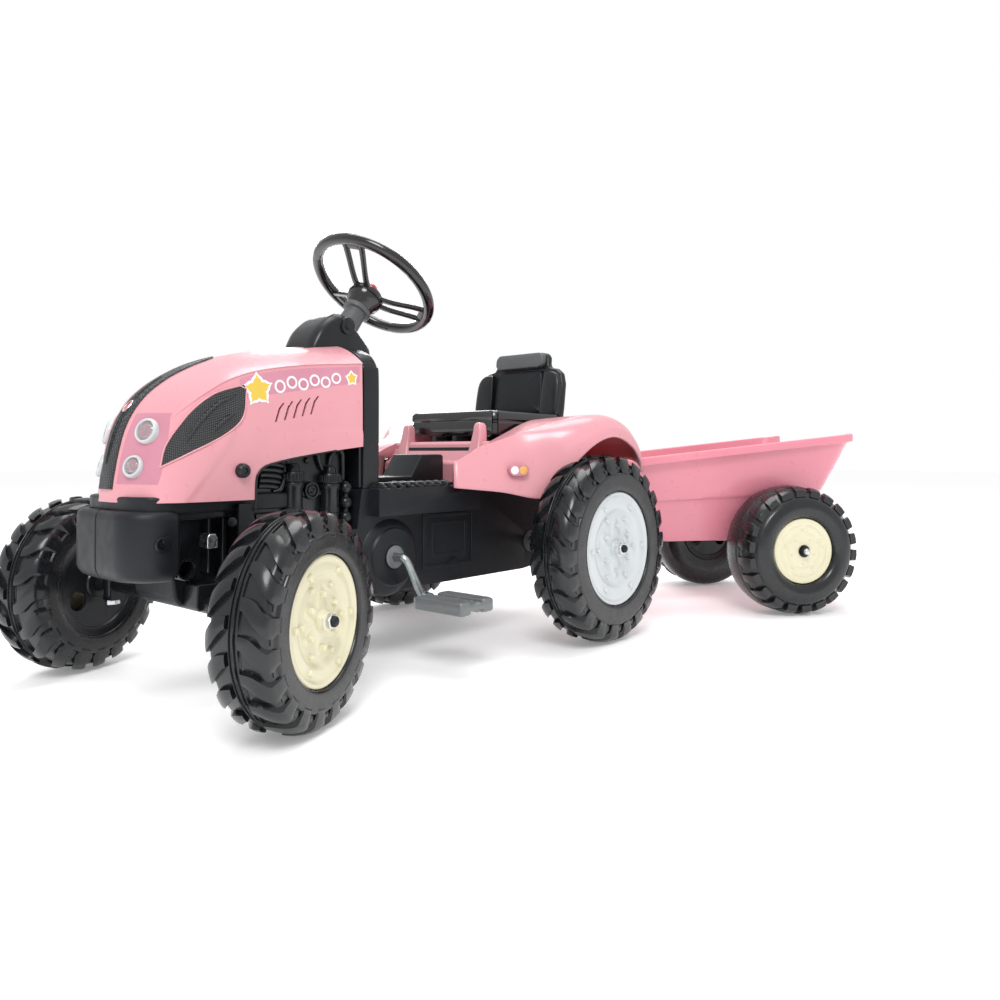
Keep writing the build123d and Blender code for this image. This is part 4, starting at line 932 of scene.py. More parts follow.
def stretched(mesh, place, along, factor):
    """A mesh stretched along one direction about a place."""
    along = Vector(along).normalized()
    for vertex in mesh.vertices:
        away = (vertex.co - Vector(place)).dot(along)
        vertex.co += along * away * (factor - 1)
    return mesh


ring = spun([(5.4, 0), (6.6, 0), (6.8, 1.0), (6.2, 1.8), (5.5, 1.2)], badge_at, badge_out)
up_nose = Vector((0, 0.62, 0.78))
finished("badge_ring", stretched(ring, badge_at, up_nose, 1.45), ZINC, "bonnet", (), TRACTOR, 40)
disc = spun([(0.01, 1.0), (3.5, 0.9), (5.5, 0.4), (5.5, 0.0), (0.01, 0.0)], badge_at, badge_out)
finished("badge_disc", stretched(disc, badge_at, up_nose, 1.45), RED, "bonnet", (), TRACTOR, 40)

# ---- leaf-shaped side grilles ----
LEAF_UPPER = [(-61, 297), (-53, 327), (-32, 364), (-4, 388), (34, 401)]
LEAF_LOWER = [(-61, 297), (-32, 315), (12, 339), (34, 361), (38, 396)]


def side_point(y, z, proud=0.0):
    """A point on the bonnet's left side."""
    return onto_bonnet((60, y, z), X, 60, proud)


def leaf():
    upper = smooth_line([(0, *p) for p in LEAF_UPPER], 8)
    lower = smooth_line([(0, *p) for p in LEAF_LOWER], 8)
    shares = [(0.0, -0.5), (0.02, 0.9), (0.06, 1.5)] + [(k / 12, 1.5) for k in range(1, 12)]
    shares += [(0.94, 1.5), (0.98, 0.9), (1.0, -0.5)]
    points = []
    for a, b in zip(lower, upper):
        for share, lift in shares:
            p = a + (b - a) * share
            points.append(side_point(p.y, p.z, lift))
    face = mesh_of(points, grid_faces(len(upper), len(shares)))
    border = [side_point(p.y, p.z, 0.6) for p in lower + list(reversed(upper[1:-1]))]
    return face, border


leaf_face, leaf_border = leaf()
finished("leaf_grilles", outward(flipped(leaf_face)), WEAVE, "bonnet", ("side_grilles",), TRACTOR, 45)
rim_line = smooth_line(leaf_border, 1, True)
rim_line.append(rim_line[0].copy())
finished("leaf_borders", flipped(tube(rim_line, 1.3, 8)), PINK, "bonnet", (), TRACTOR, 60)
for name, path in (
    ("long", [(-38, 326), (-24, 350), (-2, 374), (24, 388)]),
    ("short", [(-8, 340), (6, 354), (24, 366)]),
):
    bar = smooth_line([side_point(y, z, 1.6) for y, z in path], 8)
    swell = tube(bar, lambda t: 2.6 * sin(pi * max(0.04, min(0.96, t))) ** 0.5, 10)
    finished(f"leaf_ridges_{name}", flipped(swell), WEAVE, "bonnet", (), TRACTOR, 60)

# ---- lamps in their darker panel ----
LAMP_OUT = Vector((0.336, -0.902, 0.271)).normalized()
LAMPS = [((51, 341), 16), ((42, 298), 14.3)]


def lamp_panel():
    rows = []
    for step in range(25):
        z = 275 + step * 3.75
        inner = 20.5 + 0.06 * max(0, z - 300)
        outer = 76 - 0.02 * (z - 275)
        shares = [0, 0.02] + [k / 14 for k in range(1, 14)] + [0.98, 1]
        rows.append([
            onto_bonnet((inner + (outer - inner) * s, 0, z), (0, -1, 0), 110,
                        -0.4 if s in (0, 1) or step in (0, 24) else 0.7)
            for s in shares
        ])
    return mesh_of([p for row in rows for p in row], grid_faces(len(rows), len(rows[0])))


finished("lamp_panels", outward(flipped(lamp_panel())), PINK_DARK, "bonnet", (), TRACTOR, 50)
rings, bowls, glasses, swirls = [], [], [], []
for (lamp_x, lamp_z), r in LAMPS:
    place = onto_bonnet((lamp_x, 0, lamp_z), (0, -1, 0), 110, 0.5)
    rings.append(spun(
        [(r, -11), (r, 1.5), (r - 0.8, 3.6), (r - 2.2, 4.6), (r - 3.4, 4.0), (r - 4.0, 2.4),
         (r - 4.2, -11)],
        place, LAMP_OUT, 56))
    bowls.append(spun(
        [(0.01, -8), (r * 0.3, -7.6), (r * 0.55, -5), (r - 4.4, 0.5), (r - 4.3, -9), (0.01, -9.5)],
        place, LAMP_OUT, 56))
    glasses.append(spun(
        [(0.01, 5.4), (r * 0.3, 5.1), (r * 0.55, 4.2), (r - 4.4, 2.2), (r - 4.3, 1.2), (r * 0.5, 3.0),
         (0.01, 4.2)],
        place, LAMP_OUT, 56))
    swirls.append(spun([(r * 0.44, -5.4), (r * 0.52, -1), (r * 0.46, 0.4), (r * 0.36, -1),
                        (r * 0.34, -5.4)],
                       place, LAMP_OUT, 40))
finished("lamp_rings", flipped(joined(rings)), PALE, "bonnet", ("headlamp_bezels",), TRACTOR, 40)
finished("lamp_bowls", flipped(joined(bowls)), MIRROR, "bonnet", (), TRACTOR, 40)
finished("lamp_swirls", flipped(joined(swirls)), PALE, "bonnet", (), TRACTOR, 40)
glass_piece = finished("lamp_glasses", flipped(joined(glasses)), LENS, "bonnet", ("headlamp_lenses",),
                       TRACTOR, 40)

# ---- turn knob, screws, printed stars ----
KNOB = (0, 32, 292)
knob_x = half_width(KNOB[1], KNOB[2])
knob = spun(
    [(0.01, 6.4), (3.6, 6.4), (4.2, 8.4), (6.8, 8.8), (8.4, 7.4), (9.2, 5), (9.4, -2), (0.01, -2)],
    (knob_x, KNOB[1], KNOB[2]), X, 48)
finished("bonnet_turn_knobs", flipped(knob), SATIN, "bonnet", ("bonnet_knobs",), TRACTOR, 40)
pin = spun([(0.01, 1.1), (1.6, 1.0), (2.6, 0.3), (2.7, -1), (0.01, -1)], side_point(219, 339, 0.0), X, 24)
finished("bonnet_pins", flipped(pin), CHAIN, "bonnet", (), TRACTOR, 40)


def star_outline(place, radius, waist=0.52, turn=0.12, points=5):
    """A plump five-pointed star round a (y, z) place."""
    corners = []
    for k in range(2 * points):
        r = radius if k % 2 == 0 else radius * waist
        angle = pi / 2 + turn + pi * k / points
        corners.append(Vector((0, place[0] + r * cos(angle), place[1] + r * sin(angle))))
    soft = []
    for i, corner in enumerate(corners):
        before, after = corners[i - 1], corners[(i + 1) % len(corners)]
        for t in (0.3, 0.15, 0.05):
            soft.append(corner + (before - corner) * t + (after - corner) * t * 0.25)
        for t in (0.05, 0.15, 0.3):
            soft.append(corner + (after - corner) * t + (before - corner) * t * 0.25)
    return soft


def sticker(outlines, proud):
    """Flat prints on the bonnet's side, each a thin plate with a hair's thickness."""
    meshes = []
    for outline in outlines:
        centre = sum(outline, Vector()) / len(outline)
        rings = []
        for share, lift in ((1.0, -0.6), (1.0, proud), (0.6, proud), (0.2, proud)):
            rings.append([side_point(*((centre + (p - centre) * share).yz), lift) for p in outline])
        meshes.append(loft(rings))
    return flipped(joined(meshes))


def blob(y, z, wide, tall, turn=0.0, sides=20):
    outline = []
    for k in range(sides):
        a = 2 * pi * k / sides
        u, v = wide * cos(a), tall * sin(a)
        outline.append(Vector((0, y + u * cos(turn) - v * sin(turn), z + u * sin(turn) + v * cos(turn))))
    return outline


def band():
    rows = []
    for step in range(41):
        y = 27 + step * 4.95
        low, high = 381 + step * 0.85, section(y)[2] - 3.2
        rows.append([side_point(y, low + (high - low) * k / 10,
                                0.35 if 0 < k < 10 and 0 < step < 40 else -0.3)
                     for k in range(11)])
    return mesh_of([p for row in rows for p in row], grid_faces(len(rows), 11))


BIG_STAR, SMALL_STAR = (55, 396), (208, 421)
finished("print_band", outward(flipped(band())), BAND, "bonnet", (), TRACTOR, 50)
spots = [(88 + 18.5 * k, 404 + 2.6 * k + (2 if k % 2 else -2)) for k in range(6)]
white = [star_outline(BIG_STAR, 24, 0.62), star_outline(SMALL_STAR, 12.5, 0.62)]
white += [blob(y, z, 8.4, 8.8 - 0.2 * k, 0.2) for k, (y, z) in enumerate(spots)]
finished("print_white_shapes", sticker(white, 0.55), WHITE, "bonnet", (), TRACTOR, 50)
gold = [star_outline(BIG_STAR, 20.5), star_outline(SMALL_STAR, 9.6)]
finished("print_gold_stars", sticker(gold, 0.75), GOLD, "bonnet", (), TRACTOR, 50)
rose = [blob(y, z, 5.6, 6.0 - 0.2 * k, 0.2) for k, (y, z) in enumerate(spots)]
finished("print_rose_spots", sticker(rose, 0.75), PINK_DARK, "bonnet", (), TRACTOR, 50)

# ================= rear body: deck and mudguards =================
# Three lines along a mudguard, front to back: the outer lip, the ridge and the inner top edge.
GUARD_LIP = [
    (128, 392, 262), (165, 462, 254), (205, 531, 243), (231, 556, 286), (252, 584, 322), (263, 616, 340),
    (266, 656, 342), (265, 702, 326), (259, 738, 300), (247, 761, 282),
]
GUARD_RIDGE = [
    (119, 400, 296), (134, 452, 322), (158, 505, 341), (186, 545, 355), (208, 580, 368), (222, 615, 376),
    (229, 655, 376), (230, 700, 362), (224, 736, 334), (214, 758, 302),
]
GUARD_INNER_X, GUARD_FOOT_Z = 113, 306
RIDGE_RISE = 3


def mudguard():
    lip = smooth_line(GUARD_LIP, 7)
    ridge = smooth_line(GUARD_RIDGE, 7)
    rows = []
    for i, (o, r) in enumerate(zip(lip, ridge)):
        arch = ease((i / len(lip) - 0.16) / 0.2)
        inner = Vector((GUARD_INNER_X, r.y + 4 * (1 - arch), r.z - 2))
        foot = Vector((GUARD_INNER_X, inner.y, min(GUARD_FOOT_Z, inner.z - 6) if i else 264))
        row = [foot, inner.lerp(foot, 0.3), inner]
        row += [inner.lerp(r, k / 6) + Z * (RIDGE_RISE * sin(pi * k / 12)) for k in range(1, 7)]
        round_corner = Vector((o.x + 1, (o.y + r.y) / 2, r.z + RIDGE_RISE))
        flat_corner = o.lerp(r, 0.5) + Vector((2, -2, 2))
        corner = flat_corner.lerp(round_corner, arch)
        start = row[-1]
        for k in range(1, 15):
            t = k / 14
            p = start * (1 - t) ** 2 + corner * (2 * t * (1 - t)) + o * t * t
            welt = 2.4 * ease((t - 0.70) / 0.05) * arch
            row.append(p + Vector((0.8, 0, 0.35)) * welt)
        row.append(o + Vector((0.8, 0, 0.35)) * (2.4 * arch) - Z * 3)
        rows.append(row)
    return mesh_of([p for row in rows for p in row], grid_faces(len(rows), len(rows[0])))


def outward_sheet(mesh):
    """Turns an open arched sheet so that its faces look up and out."""
    middle_face = max(mesh.polygons, key=lambda face: face.center.z)
    if middle_face.normal.z < 0:
        mesh.flip_normals()
    return mesh


guards = finished("mudguards", outward_sheet(flipped(mudguard())), PINK, "chassis", ("rear_body",),
                  TRACTOR, 38)
# The mudguards' underside takes the painted-shade red as the solidify wall's second material.
guards.data.materials.append(SHADE_RED_UNDERSIDE)
wall = thicken(guards, 4, -1.0)
wall.modifiers["wall"].material_offset = 1

DECK_HALF_W = 115
deck_side = [(462, 262.4), (462, 296), (466, 301), (480, 302), (485, 306), (487, 330), (492, 334.3),
             (748, 334.3),
             (753, 329), (753, 300), (744, 300), (742, 303), (490, 324), (486, 322), (471, 294),
             (466, 262.4)]
deck = finished("rear_deck", prism(deck_side, "x", -DECK_HALF_W, DECK_HALF_W), PINK, "chassis", (),
                TRACTOR, 30)
bevel(deck, 2.2, 3)
posts = []
for z, half_w, front, rear in ((264, 30, 461, 480), (290, 23, 468, 494), (304, 17, 474, 502),
                               (326, 12, 481, 506), (350, 9.5, 487, 507),
                              (360, 8.4, 488.5, 506.5), (364.5, 6.4, 490, 504.5), (366.2, 3.6, 493, 501)):
    half_l = (rear - front) / 2
    posts.append([(u, v, z) for u, v in rounded(half_w, half_l, min(half_l, half_w) * 0.55, 5,
                                                (88, (front + rear) / 2))])
finished("deck_posts", flipped(joined([loft(posts)])), PINK, "chassis", (), TRACTOR, 50)
rear_panel = [(-100, 150), (100, 150), (104, 176), (104, 292), (96, 300), (-96, 300), (-104, 292),
              (-104, 176)]
bevel(finished("rear_apron", prism(rear_panel, "y", 746.4, 750), PINK, "chassis", (), TRACTOR, 30), 1.2,
      3)

SLANT = Vector((0.874, -0.486, 0)).normalized()
ALONG = Vector((0.486, 0.874, 0)).normalized()
CLUSTER = Vector((180, 489, 286))


def oval_plate(centre, half_long, half_tall, low, high, shrink=0.0):
    """A flat pill shape lying on the mudguard's slanting front."""
    rings = []
    for depth, grow in ((low, 0), (high - 0.6, 0), (high, -0.6 - shrink)):
        ring = []
        for u, v in rounded(half_long + grow, half_tall + grow, half_tall + grow - 0.1, 10):
            ring.append(centre + ALONG * u + Z * v + SLANT * depth)
        rings.append(ring)
    return loft(rings)


finished("cluster_plates", flipped(oval_plate(CLUSTER, 17, 9, -8, 2.6)), PINK_DARK, "chassis",
         ("lamp_clusters",), TRACTOR, 40)
finished("cluster_clear", flipped(oval_plate(CLUSTER - ALONG * 7.6, 6.8, 6.6, 0, 3.4, 0.6)), WHITE,
         "chassis", (), TRACTOR, 40)
finished("cluster_amber", flipped(oval_plate(CLUSTER + ALONG * 7.6, 6.8, 6.6, 0, 3.4, 0.6)), AMBER,
         "chassis", (), TRACTOR, 40)

# ================= seat =================
SEAT_FRONT, SEAT_REAR = 514, 708
SEAT_FOOT, SEAT_TOP = 346, 388


def pan_outline(grow, flute):
    """The seat pan seen from above, with moulded flutes along its front and sides."""
    half_w, half_l = 106 + grow, (SEAT_REAR - SEAT_FRONT) / 2 + grow - 2
    ring = rounded(half_w, half_l, 20, 8, (0, (SEAT_FRONT + SEAT_REAR) / 2))
    dense = [(p.x, p.y) for p in smooth_line([Vector((u, v, 0)) for u, v in ring], 4, True)]
    fluted = []
    for u, v in dense:
        depth = flute * 2.2 * ease((cos(u / 15 * pi) - 0.2) / 0.3) if v < SEAT_FRONT + 22 else 0
        fluted.append((u, v + depth))
    return fluted


def dish(u, v):
    """The seat top's hollow: low in the middle, raised at the thighs and the sides."""
    across, along = abs(u) / 106, (v - SEAT_FRONT) / (SEAT_REAR - SEAT_FRONT)
    hollow = ease((1 - across) / 0.42) * ease((along - 0.10) / 0.16) * ease((1.02 - along) / 0.12)
    rib = ease((cos(along * 14 * pi) - 0.1) / 0.5) * ease((0.55 - across) / 0.05) * hollow
    return SEAT_TOP - 11 * hollow + 1.6 * rib


rows = []
for z, grow, flute in ((SEAT_FOOT, -4, 0.2), (SEAT_FOOT + 3, -0.5, 1), (SEAT_TOP - 22, 0, 1),
                       (SEAT_TOP - 20, -1.6, 1), (SEAT_TOP - 17, -1.6, 1), (SEAT_TOP - 15, 0, 1),
                       (SEAT_TOP - 5, -0.4, 1)):
    rows.append([(u, v, z) for u, v in pan_outline(grow, flute)])
middle_v = (SEAT_FRONT + SEAT_REAR) / 2
for share in (0.985, 0.96, 0.92, 0.88, 0.84, 0.8, 0.74, 0.68, 0.6, 0.52, 0.44, 0.36, 0.28, 0.2, 0.12,
              0.05):
    row = []
    for u, v in pan_outline(-1.2, 0.6 * share):
        su, sv = u * share, middle_v + (v - middle_v) * share
        row.append((su, sv, dish(su, sv) - (1.6 if share > 0.98 else 0)))
    rows.append(row)
seat_pan = finished("seat_cushion_pan", loft(rows), GLOSSY, "seat", ("seat_pan",), TRACTOR, 40)

BACK_Y, BACK_FOOT, BACK_LEAN = 692, 348, 0.16


def leaning(mesh):
    """Tips a seat-back piece, drawn upright, to the back's lean."""
    for vertex in mesh.vertices:
        vertex.co.y += (vertex.co.z - BACK_FOOT) * BACK_LEAN
    return mesh


def back_outline(grow=0.0):
    half = [(104, BACK_FOOT), (106, 400), (105, 446), (99, 466), (86, 476), (70, 479), (66, 486),
            (65, 500), (58, 508),
            (40, 511.5)]
    right = [(x + grow * 0.9, z + (grow if z > 400 else 0)) for x, z in half]
    return right + [(-x, z) for x, z in reversed(right)]


slab = leaning(prism(back_outline(), "y", BACK_Y + 6, BACK_Y + 20))
back = finished("seat_back_shell", slab, SATIN, "seat", ("seat_back",), TRACTOR, 30)
bevel(back, 4.5, 4)


def pad(outline, low, high, crown):
    """A softly crowned raised panel on the front of the seat back."""
    cu = sum(u for u, v in outline) / len(outline)
    cv = sum(v for u, v in outline) / len(outline)
    rings = []
    for y, share in ((high, 1.0), (low + 2.5, 1.0), (low + 0.8, 0.985), (low, 0.95),
                     (low - crown * 0.5, 0.75),
                     (low - crown * 0.85, 0.5), (low - crown, 0.2)):
        rings.append([(cu + (u - cu) * share, y, cv + (v - cv) * share) for u, v in outline])
    return leaning(loft(rings))


centre_pad = [(-52, 392), (52, 392), (57, 400), (58, 440), (54, 468), (46, 474), (-46, 474), (-54, 468),
              (-58, 440), (-57, 400)]
centre_pad = [(p.x, p.y) for p in smooth_line([Vector((u, v, 0)) for u, v in centre_pad], 4, True)]
finished("seat_back_panel", pad(centre_pad, BACK_Y + 1, BACK_Y + 12, 2.5), BLACK, "seat", (), TRACTOR, 50)
head_pad = rounded(59, 14.5, 12, 8, (0, 495))
finished("seat_head_pad", pad(head_pad, BACK_Y - 6, BACK_Y + 12, 2.5), SLEEVE, "seat", (), TRACTOR, 50)
bolster = [(64, 388), (98, 384), (103, 400), (102, 444), (96, 462), (84, 470), (68, 470), (64, 460)]
bolster = [(p.x, p.y) for p in smooth_line([Vector((u, v, 0)) for u, v in bolster], 4, True)]
finished("seat_bolsters", flipped(pad(bolster, BACK_Y - 5, BACK_Y + 12, 3)), SATIN, "seat", (), TRACTOR,
         50)

# ================= steering =================
COLUMN = JOINTS["steering_turn"]
column_z = Vector(COLUMN["axis"]).normalized()
COLUMN_AXES = axes(Vector(COLUMN["pos_m"]), X, column_z.cross(X), column_z)
RING_R, GRIP_R, SPOKE_TURN = 99.4, 9, radians(-67.8)


def grip_ring():
    """The round grip, with a shallow flat inside and four narrow joints."""
    points = []
    steps, sides = 144, 20
    for i in range(steps):
        a = 2 * pi * i / steps
        joint = 0.5 * ease(1 - abs(((a - SPOKE_TURN) / (pi / 3) + 0.5) % 1 - 0.5) / 0.03)
        for k in range(sides):
            b = 2 * pi * k / sides
            r = GRIP_R - joint - 0.9 * ease((cos(b - pi) - 0.55) / 0.4)
            points.append(((RING_R + r * cos(b)) * cos(a), (RING_R + r * cos(b)) * sin(a), r * sin(b)))
    return mesh_of(points, grid_faces(steps, sides, True, True))


def spoke_middle(ray, t):
    """A place along a spoke's middle line, from the hub at 0 to the ring at 1."""
    return ray * (17 + t * (RING_R - 21)) + Z * (-22 + 20 * ease(t * 0.9) - 1)


def spoke(turn):
    """A flat spoke with a long slot between its two bars, dished down to the hub."""
    ray, across = Vector((cos(turn), sin(turn), 0)), Vector((-sin(turn), cos(turn), 0))
    meshes = []
    for bar in (-1, 1):
        rings = []
        for step in range(9):
            t = step / 8
            centre = spoke_middle(ray, t) + across * (bar * (9.5 + 5.5 * t))
            wide, deep = 4.6 - 0.6 * sin(pi * t), 3.4
            rings.append([centre + across * u + Z * v for u, v in rounded(wide, deep, 1.8, 3)])
        meshes.append(loft(rings))
    for t, long in ((0.06, 7), (0.93, 5)):
        centre = spoke_middle(ray, t)
        rings = [[centre + ray * u + across * (9.5 * s) + Z * v for u,
                  v in rounded(long, 2.6, 1.4, 3)] for s in (-1, 1)]
        meshes.append(loft(rings))
    return joined(meshes)


wheel = [grip_ring()] + [spoke(SPOKE_TURN + 2 * pi * k / 3) for k in range(3)]
wheel.append(revolved(
    [(6.4, -52), (20, -52), (22, -50), (23, -44), (26, -40), (29, -30), (28, -21), (25, -17), (15, -16),
     (9.3, -17.5),
     (9.3, -28), (6.4, -28.6)], 64))
steering = finished("steering_wheel_moulding", joined(wheel), GLOSSY, "steering", ("steering_wheel",),
                    COLUMN_AXES, 42)
sleeve = revolved([(6.6, -99), (19, -99), (18.6, -92), (17, -64), (17, -62), (21.5, -61), (22.4, -60),
                   (22.4, -53.6), (21.6, -52.6),
                   (6.6, -52.6)], 64)
bevel(finished("column_grey_sleeve", sleeve, SLEEVE, "steering", ("column_sleeve",), COLUMN_AXES, 40),
      0.8, 2)
ball = [(8.9, -24), (8.9, -13), (10.6, -11)] + [(10.98 * cos(a / 16 * pi / 2),
                                                 -8 + 9.6 * sin(a / 16 * pi / 2)) for a in range(17)]
ball[-1] = (0.01, ball[-1][1])
horn = finished("horn_ball", revolved(ball + [(0.01, -24)], 48), RED, "horn", ("horn_button",),
                COLUMN_AXES, 40)

# ---- dash: the arch behind the bonnet and the hump that carries the column ----
ARCH_HALF_W, ARCH_CROWN = 90, 477
arch_right = [(ARCH_HALF_W, 262.4), (ARCH_HALF_W, 418), (87, 436), (78, 450), (62, 460), (40, 467),
              (20, 472), (0, ARCH_CROWN - 3)]
arch = arch_right + [(-x, z) for x, z in reversed(arch_right[:-1])]
arch_block = prism(arch, "y", 231.6, 266)
arch_inside = prism([(u * 0.93, 255 + (v - 255) * 0.965) for u, v in arch], "y", 238, 261)
post = finished("dash_arch", cut(arch_block, arch_inside), SATIN, "chassis", ("dash_tower",), TRACTOR, 30)
bevel(post, 3.2, 4, 32)
rail = [(0, 96, 262.6), (0, 96, 420), (0, 92, 440), (0, 80, 456), (0, 60, 466)]
edge_rail = smooth_line([Vector((x - 4, 250, z)) for _, x, z in rail], 8)
rings = []
for i, p in enumerate(edge_rail):
    ahead = (edge_rail[min(i + 1, len(edge_rail) - 1)] - edge_rail[max(i - 1, 0)]).normalized()
    out = Vector((ahead.z, 0, -ahead.x))
    rings.append([p + out * v + Y * u for u, v in rounded(15, 3.6, 2.4, 4)])
bevel(finished("dash_edge_rails", flipped(loft(rings)), SATIN, "chassis", (), TRACTOR, 40), 0.6, 2)

HUMP_STATIONS = [(186, 34, 440, 466), (190, 37, 437, 482), (200, 39.5, 434, 499), (212, 40, 432, 511),
                 (226, 40, 430, 521),
                 (240, 40, 428, 526.5), (252, 40, 426, 524), (262, 39.5, 424, 516), (276, 38, 422, 504),
                 (290, 36, 424, 492),
                 (299, 33, 430, 486)]
hump_rings = []
for y, half, low, top in HUMP_STATIONS:
    ring = []
    for u, v in rounded(half, (top - low) / 2, min(17, (top - low) / 2 - 1), 8, (0, (top + low) / 2)):
        ring.append((u, y, v))
    hump_rings.append(ring)
hump_lines = [smooth_line([ring[k] for ring in hump_rings], 4) for k in range(len(hump_rings[0]))]
hump = loft([[line[i] for line in hump_lines] for i in range(len(hump_lines[0]))])
finished("dash_hump", hump, SATIN, "chassis", (), TRACTOR, 50)
bolt = spun([(0.01, 3.2), (3.0, 3.2), (3.6, 2.2), (8.4, 2.4), (10.2, 3.6), (11.4, 3.0), (11.8, 0.6),
             (11.8, -4), (0.01, -4)],
            (40, 250, 508), X, 48)
finished("dash_bolts", flipped(bolt), SATIN, "chassis", (), TRACTOR, 40)

# ================= trailer =================
TUB_WALL = 4
LIP_W = 11


def tub_ring(y0, y1, z0, z1, half_front, half_rear, corner_front, corner_rear, grow=0.0, lift=0.0):
    """A rounded outline across the tub that slopes from z0 at y0 to z1 at y1."""
    ring = []
    length = y1 - y0
    corners = (
        (1, y1, half_rear, corner_rear, 0), (-1, y1, half_rear, corner_rear, 1),
        (-1, y0, half_front, corner_front, 2), (1, y0, half_front, corner_front, 3),
    )
    for sx, y, half, radius, quarter in corners:
        sy = 1 if y == y1 else -1
        r = radius + grow
        cx, cy = sx * (half + grow - r), y + sy * (grow - r)
        for step in range(9):
            a = (quarter + step / 8) * pi / 2
            ring.append(Vector((cx + r * cos(a), cy + r * sin(a), 0)))
    dense = []
    for i, p in enumerate(ring):
        q = ring[(i + 1) % len(ring)]
        steps = 10 if i % 9 == 8 else 1
        dense += [p.lerp(q, k / steps) for k in range(steps)]
    for p in dense:
        p.z = z0 + (z1 - z0) * (p.y - y0) / length + lift
    return dense


def tub_levels(inset):
    """The tub's skin from its floor up to the rim, as outlines."""
    levels = [
        (186, 434, 137, 137, 104, 108, 26, 26),
        (176, 446, 140, 141, 111, 116, 30, 30),
        (150, 486, 176, 180, 122, 127, 34, 34),
        (124, 532, 214, 226, 133, 138, 38, 38),
        (116, 548, 222, 240, 139, 143, 40, 40),
        (92, 588, 268, 308, 149, 152, 44, 42),
        (79, 604, 296.5, 351.5, 156, 156, 46, 44),
    ]
    return [tub_ring(*level, grow=-inset, lift=inset if i < 2 else 0) for i, level in enumerate(levels)]


def soft(levels, per_span=4):
    """More outlines between the levels, on smooth lines through them."""
    lines = [smooth_line([level[k] for level in levels], per_span) for k in range(len(levels[0]))]
    return [[line[i] for line in lines] for i in range(len(lines[0]))]


def arch_relief(p):
    """The raised wheel-arch panel on the tub's side."""
    away = (Vector((p.y, p.z)) - Vector((429, 125))).length
    return 3.2 * ease((176 - away) / 5) * ease((p.z - 128) / 10) * (1 if abs(p.x) > 80 else 0)


outer = soft(tub_levels(0))
for ring in outer:
    for p in ring:
        push = arch_relief(p)
        p.x += push if p.x > 0 else -push
lip = [
    tub_ring(79, 604, 285.5, 340.5, 156, 156, 46, 44, 2.5),
    tub_ring(79, 604, 285.5, 340.5, 156, 156, 46, 44, LIP_W - 3),
    tub_ring(79, 604, 284, 339, 156, 156, 46, 44, LIP_W - 1),
    tub_ring(79, 604, 285, 340, 156, 156, 46, 44, LIP_W),
    tub_ring(79, 604, 296, 351, 156, 156, 46, 44, LIP_W),
    tub_ring(79, 604, 299, 354, 156, 156, 46, 44, LIP_W - 1.4),
    tub_ring(79, 604, 300, 355, 156, 156, 46, 44, LIP_W - 4),
    tub_ring(79, 604, 300, 355, 156, 156, 46, 44, -2),
    tub_ring(79, 604, 298.4, 353.4, 156, 156, 46, 44, -TUB_WALL),
]
inner = list(reversed(soft(tub_levels(TUB_WALL))))[2:]
tub_mesh = loft(outer[:-3] + lip + inner)
tailgate = prism([(560, 277), (528, 420), (660, 420), (660, 277)], "x", -134, 134)
tub = finished("trailer_tub_moulding", cut(tub_mesh, tailgate), TUB_PINK, "trailer", ("trailer_tub",),
               TRAILER, 30)
bevel(tub, 1.4, 3, 32)

# ---- drawbar: a flat eye that rises under the tub's front rim ----
DRAWBAR = [
    (-46, 13, 150, 164), (-42, 19, 150, 164), (-34, 22, 150, 164), (0, 22, 150, 164), (28, 22, 150, 164),
    (40, 23, 150.5, 168),
    (50, 25, 151, 179), (60, 29, 152, 197), (72, 35, 156, 224), (84, 42, 162, 250), (94, 49, 168, 266),
    (104, 57, 173, 274),
    (120, 64, 178, 278), (140, 68, 182, 276),
]


def drawbar_ring(y, half, low, top):
    """A section with a broad channel sunk between two rounded cheeks."""
    sink = min(9.0, max(0.0, (top - low - 14) * 0.25))
    cheek = min(5.0, (top - low) / 2 - 0.5)
    right = [(half - 1.5, low), (half, low + 1.5), (half, top - cheek)]
    for step in range(1, 7):
        a = step / 6 * pi / 2
        right.append((half - cheek + cheek * cos(a), top - cheek + cheek * sin(a)))
    right += [(half - cheek - 5, top - sink * 0.12), (half - cheek - 8, top - sink * 0.85),
              (half - cheek - 10, top - sink)]
    right = [(max(x, 0.5 + 0.1 * k), z) for k, (x, z) in enumerate(right)]
    return [(x, y, z) for x, z in right] + [(-x, y, z) for x, z in reversed(right)]


smooth_stations = []
for a, b in zip(DRAWBAR, DRAWBAR[1:]):
    steps = 4 if a[0] >= 28 else 1
    for k in range(steps):
        y = a[0] + (b[0] - a[0]) * k / steps
        smooth_stations.append((y, *(monotone([(s[0], s[j]) for s in DRAWBAR], y) for j in (1, 2, 3))))
smooth_stations.append(DRAWBAR[-1])
bar = loft([drawbar_ring(*s) for s in smooth_stations])
eye = prism(polygon(40, 8.5), "z", 100, 220)
tub_space = loft(outer[:-3] + lip[3:6])
tongue = finished("drawbar_moulding", cut(bar, eye, tub_space), TUB_PINK, "trailer", ("trailer_drawbar",),
                  TRAILER, 34)
bevel(tongue, 1.0, 2, 40)

# ================= chassis =================
FRONT_CUT_Y = 30


def trimmed(node):
    """A copy of a CAD node's mesh, kept behind the front cut."""
    mesh = frame["nodes"][node].data.copy()
    work = bmesh.new()
    work.from_mesh(mesh)
    bmesh.ops.remove_doubles(work, verts=work.verts, dist=2e-5)
    everything = work.verts[:] + work.edges[:] + work.faces[:]
    place = TRACTOR @ Vector((0, FRONT_CUT_Y, 0))
    bmesh.ops.bisect_plane(work, geom=everything, plane_co=place, plane_no=(0, 1, 0), clear_inner=True)
    work.to_mesh(mesh)
    work.free()
    mesh.transform(TRACTOR.inverted())
    mesh.materials.clear()
    return mesh


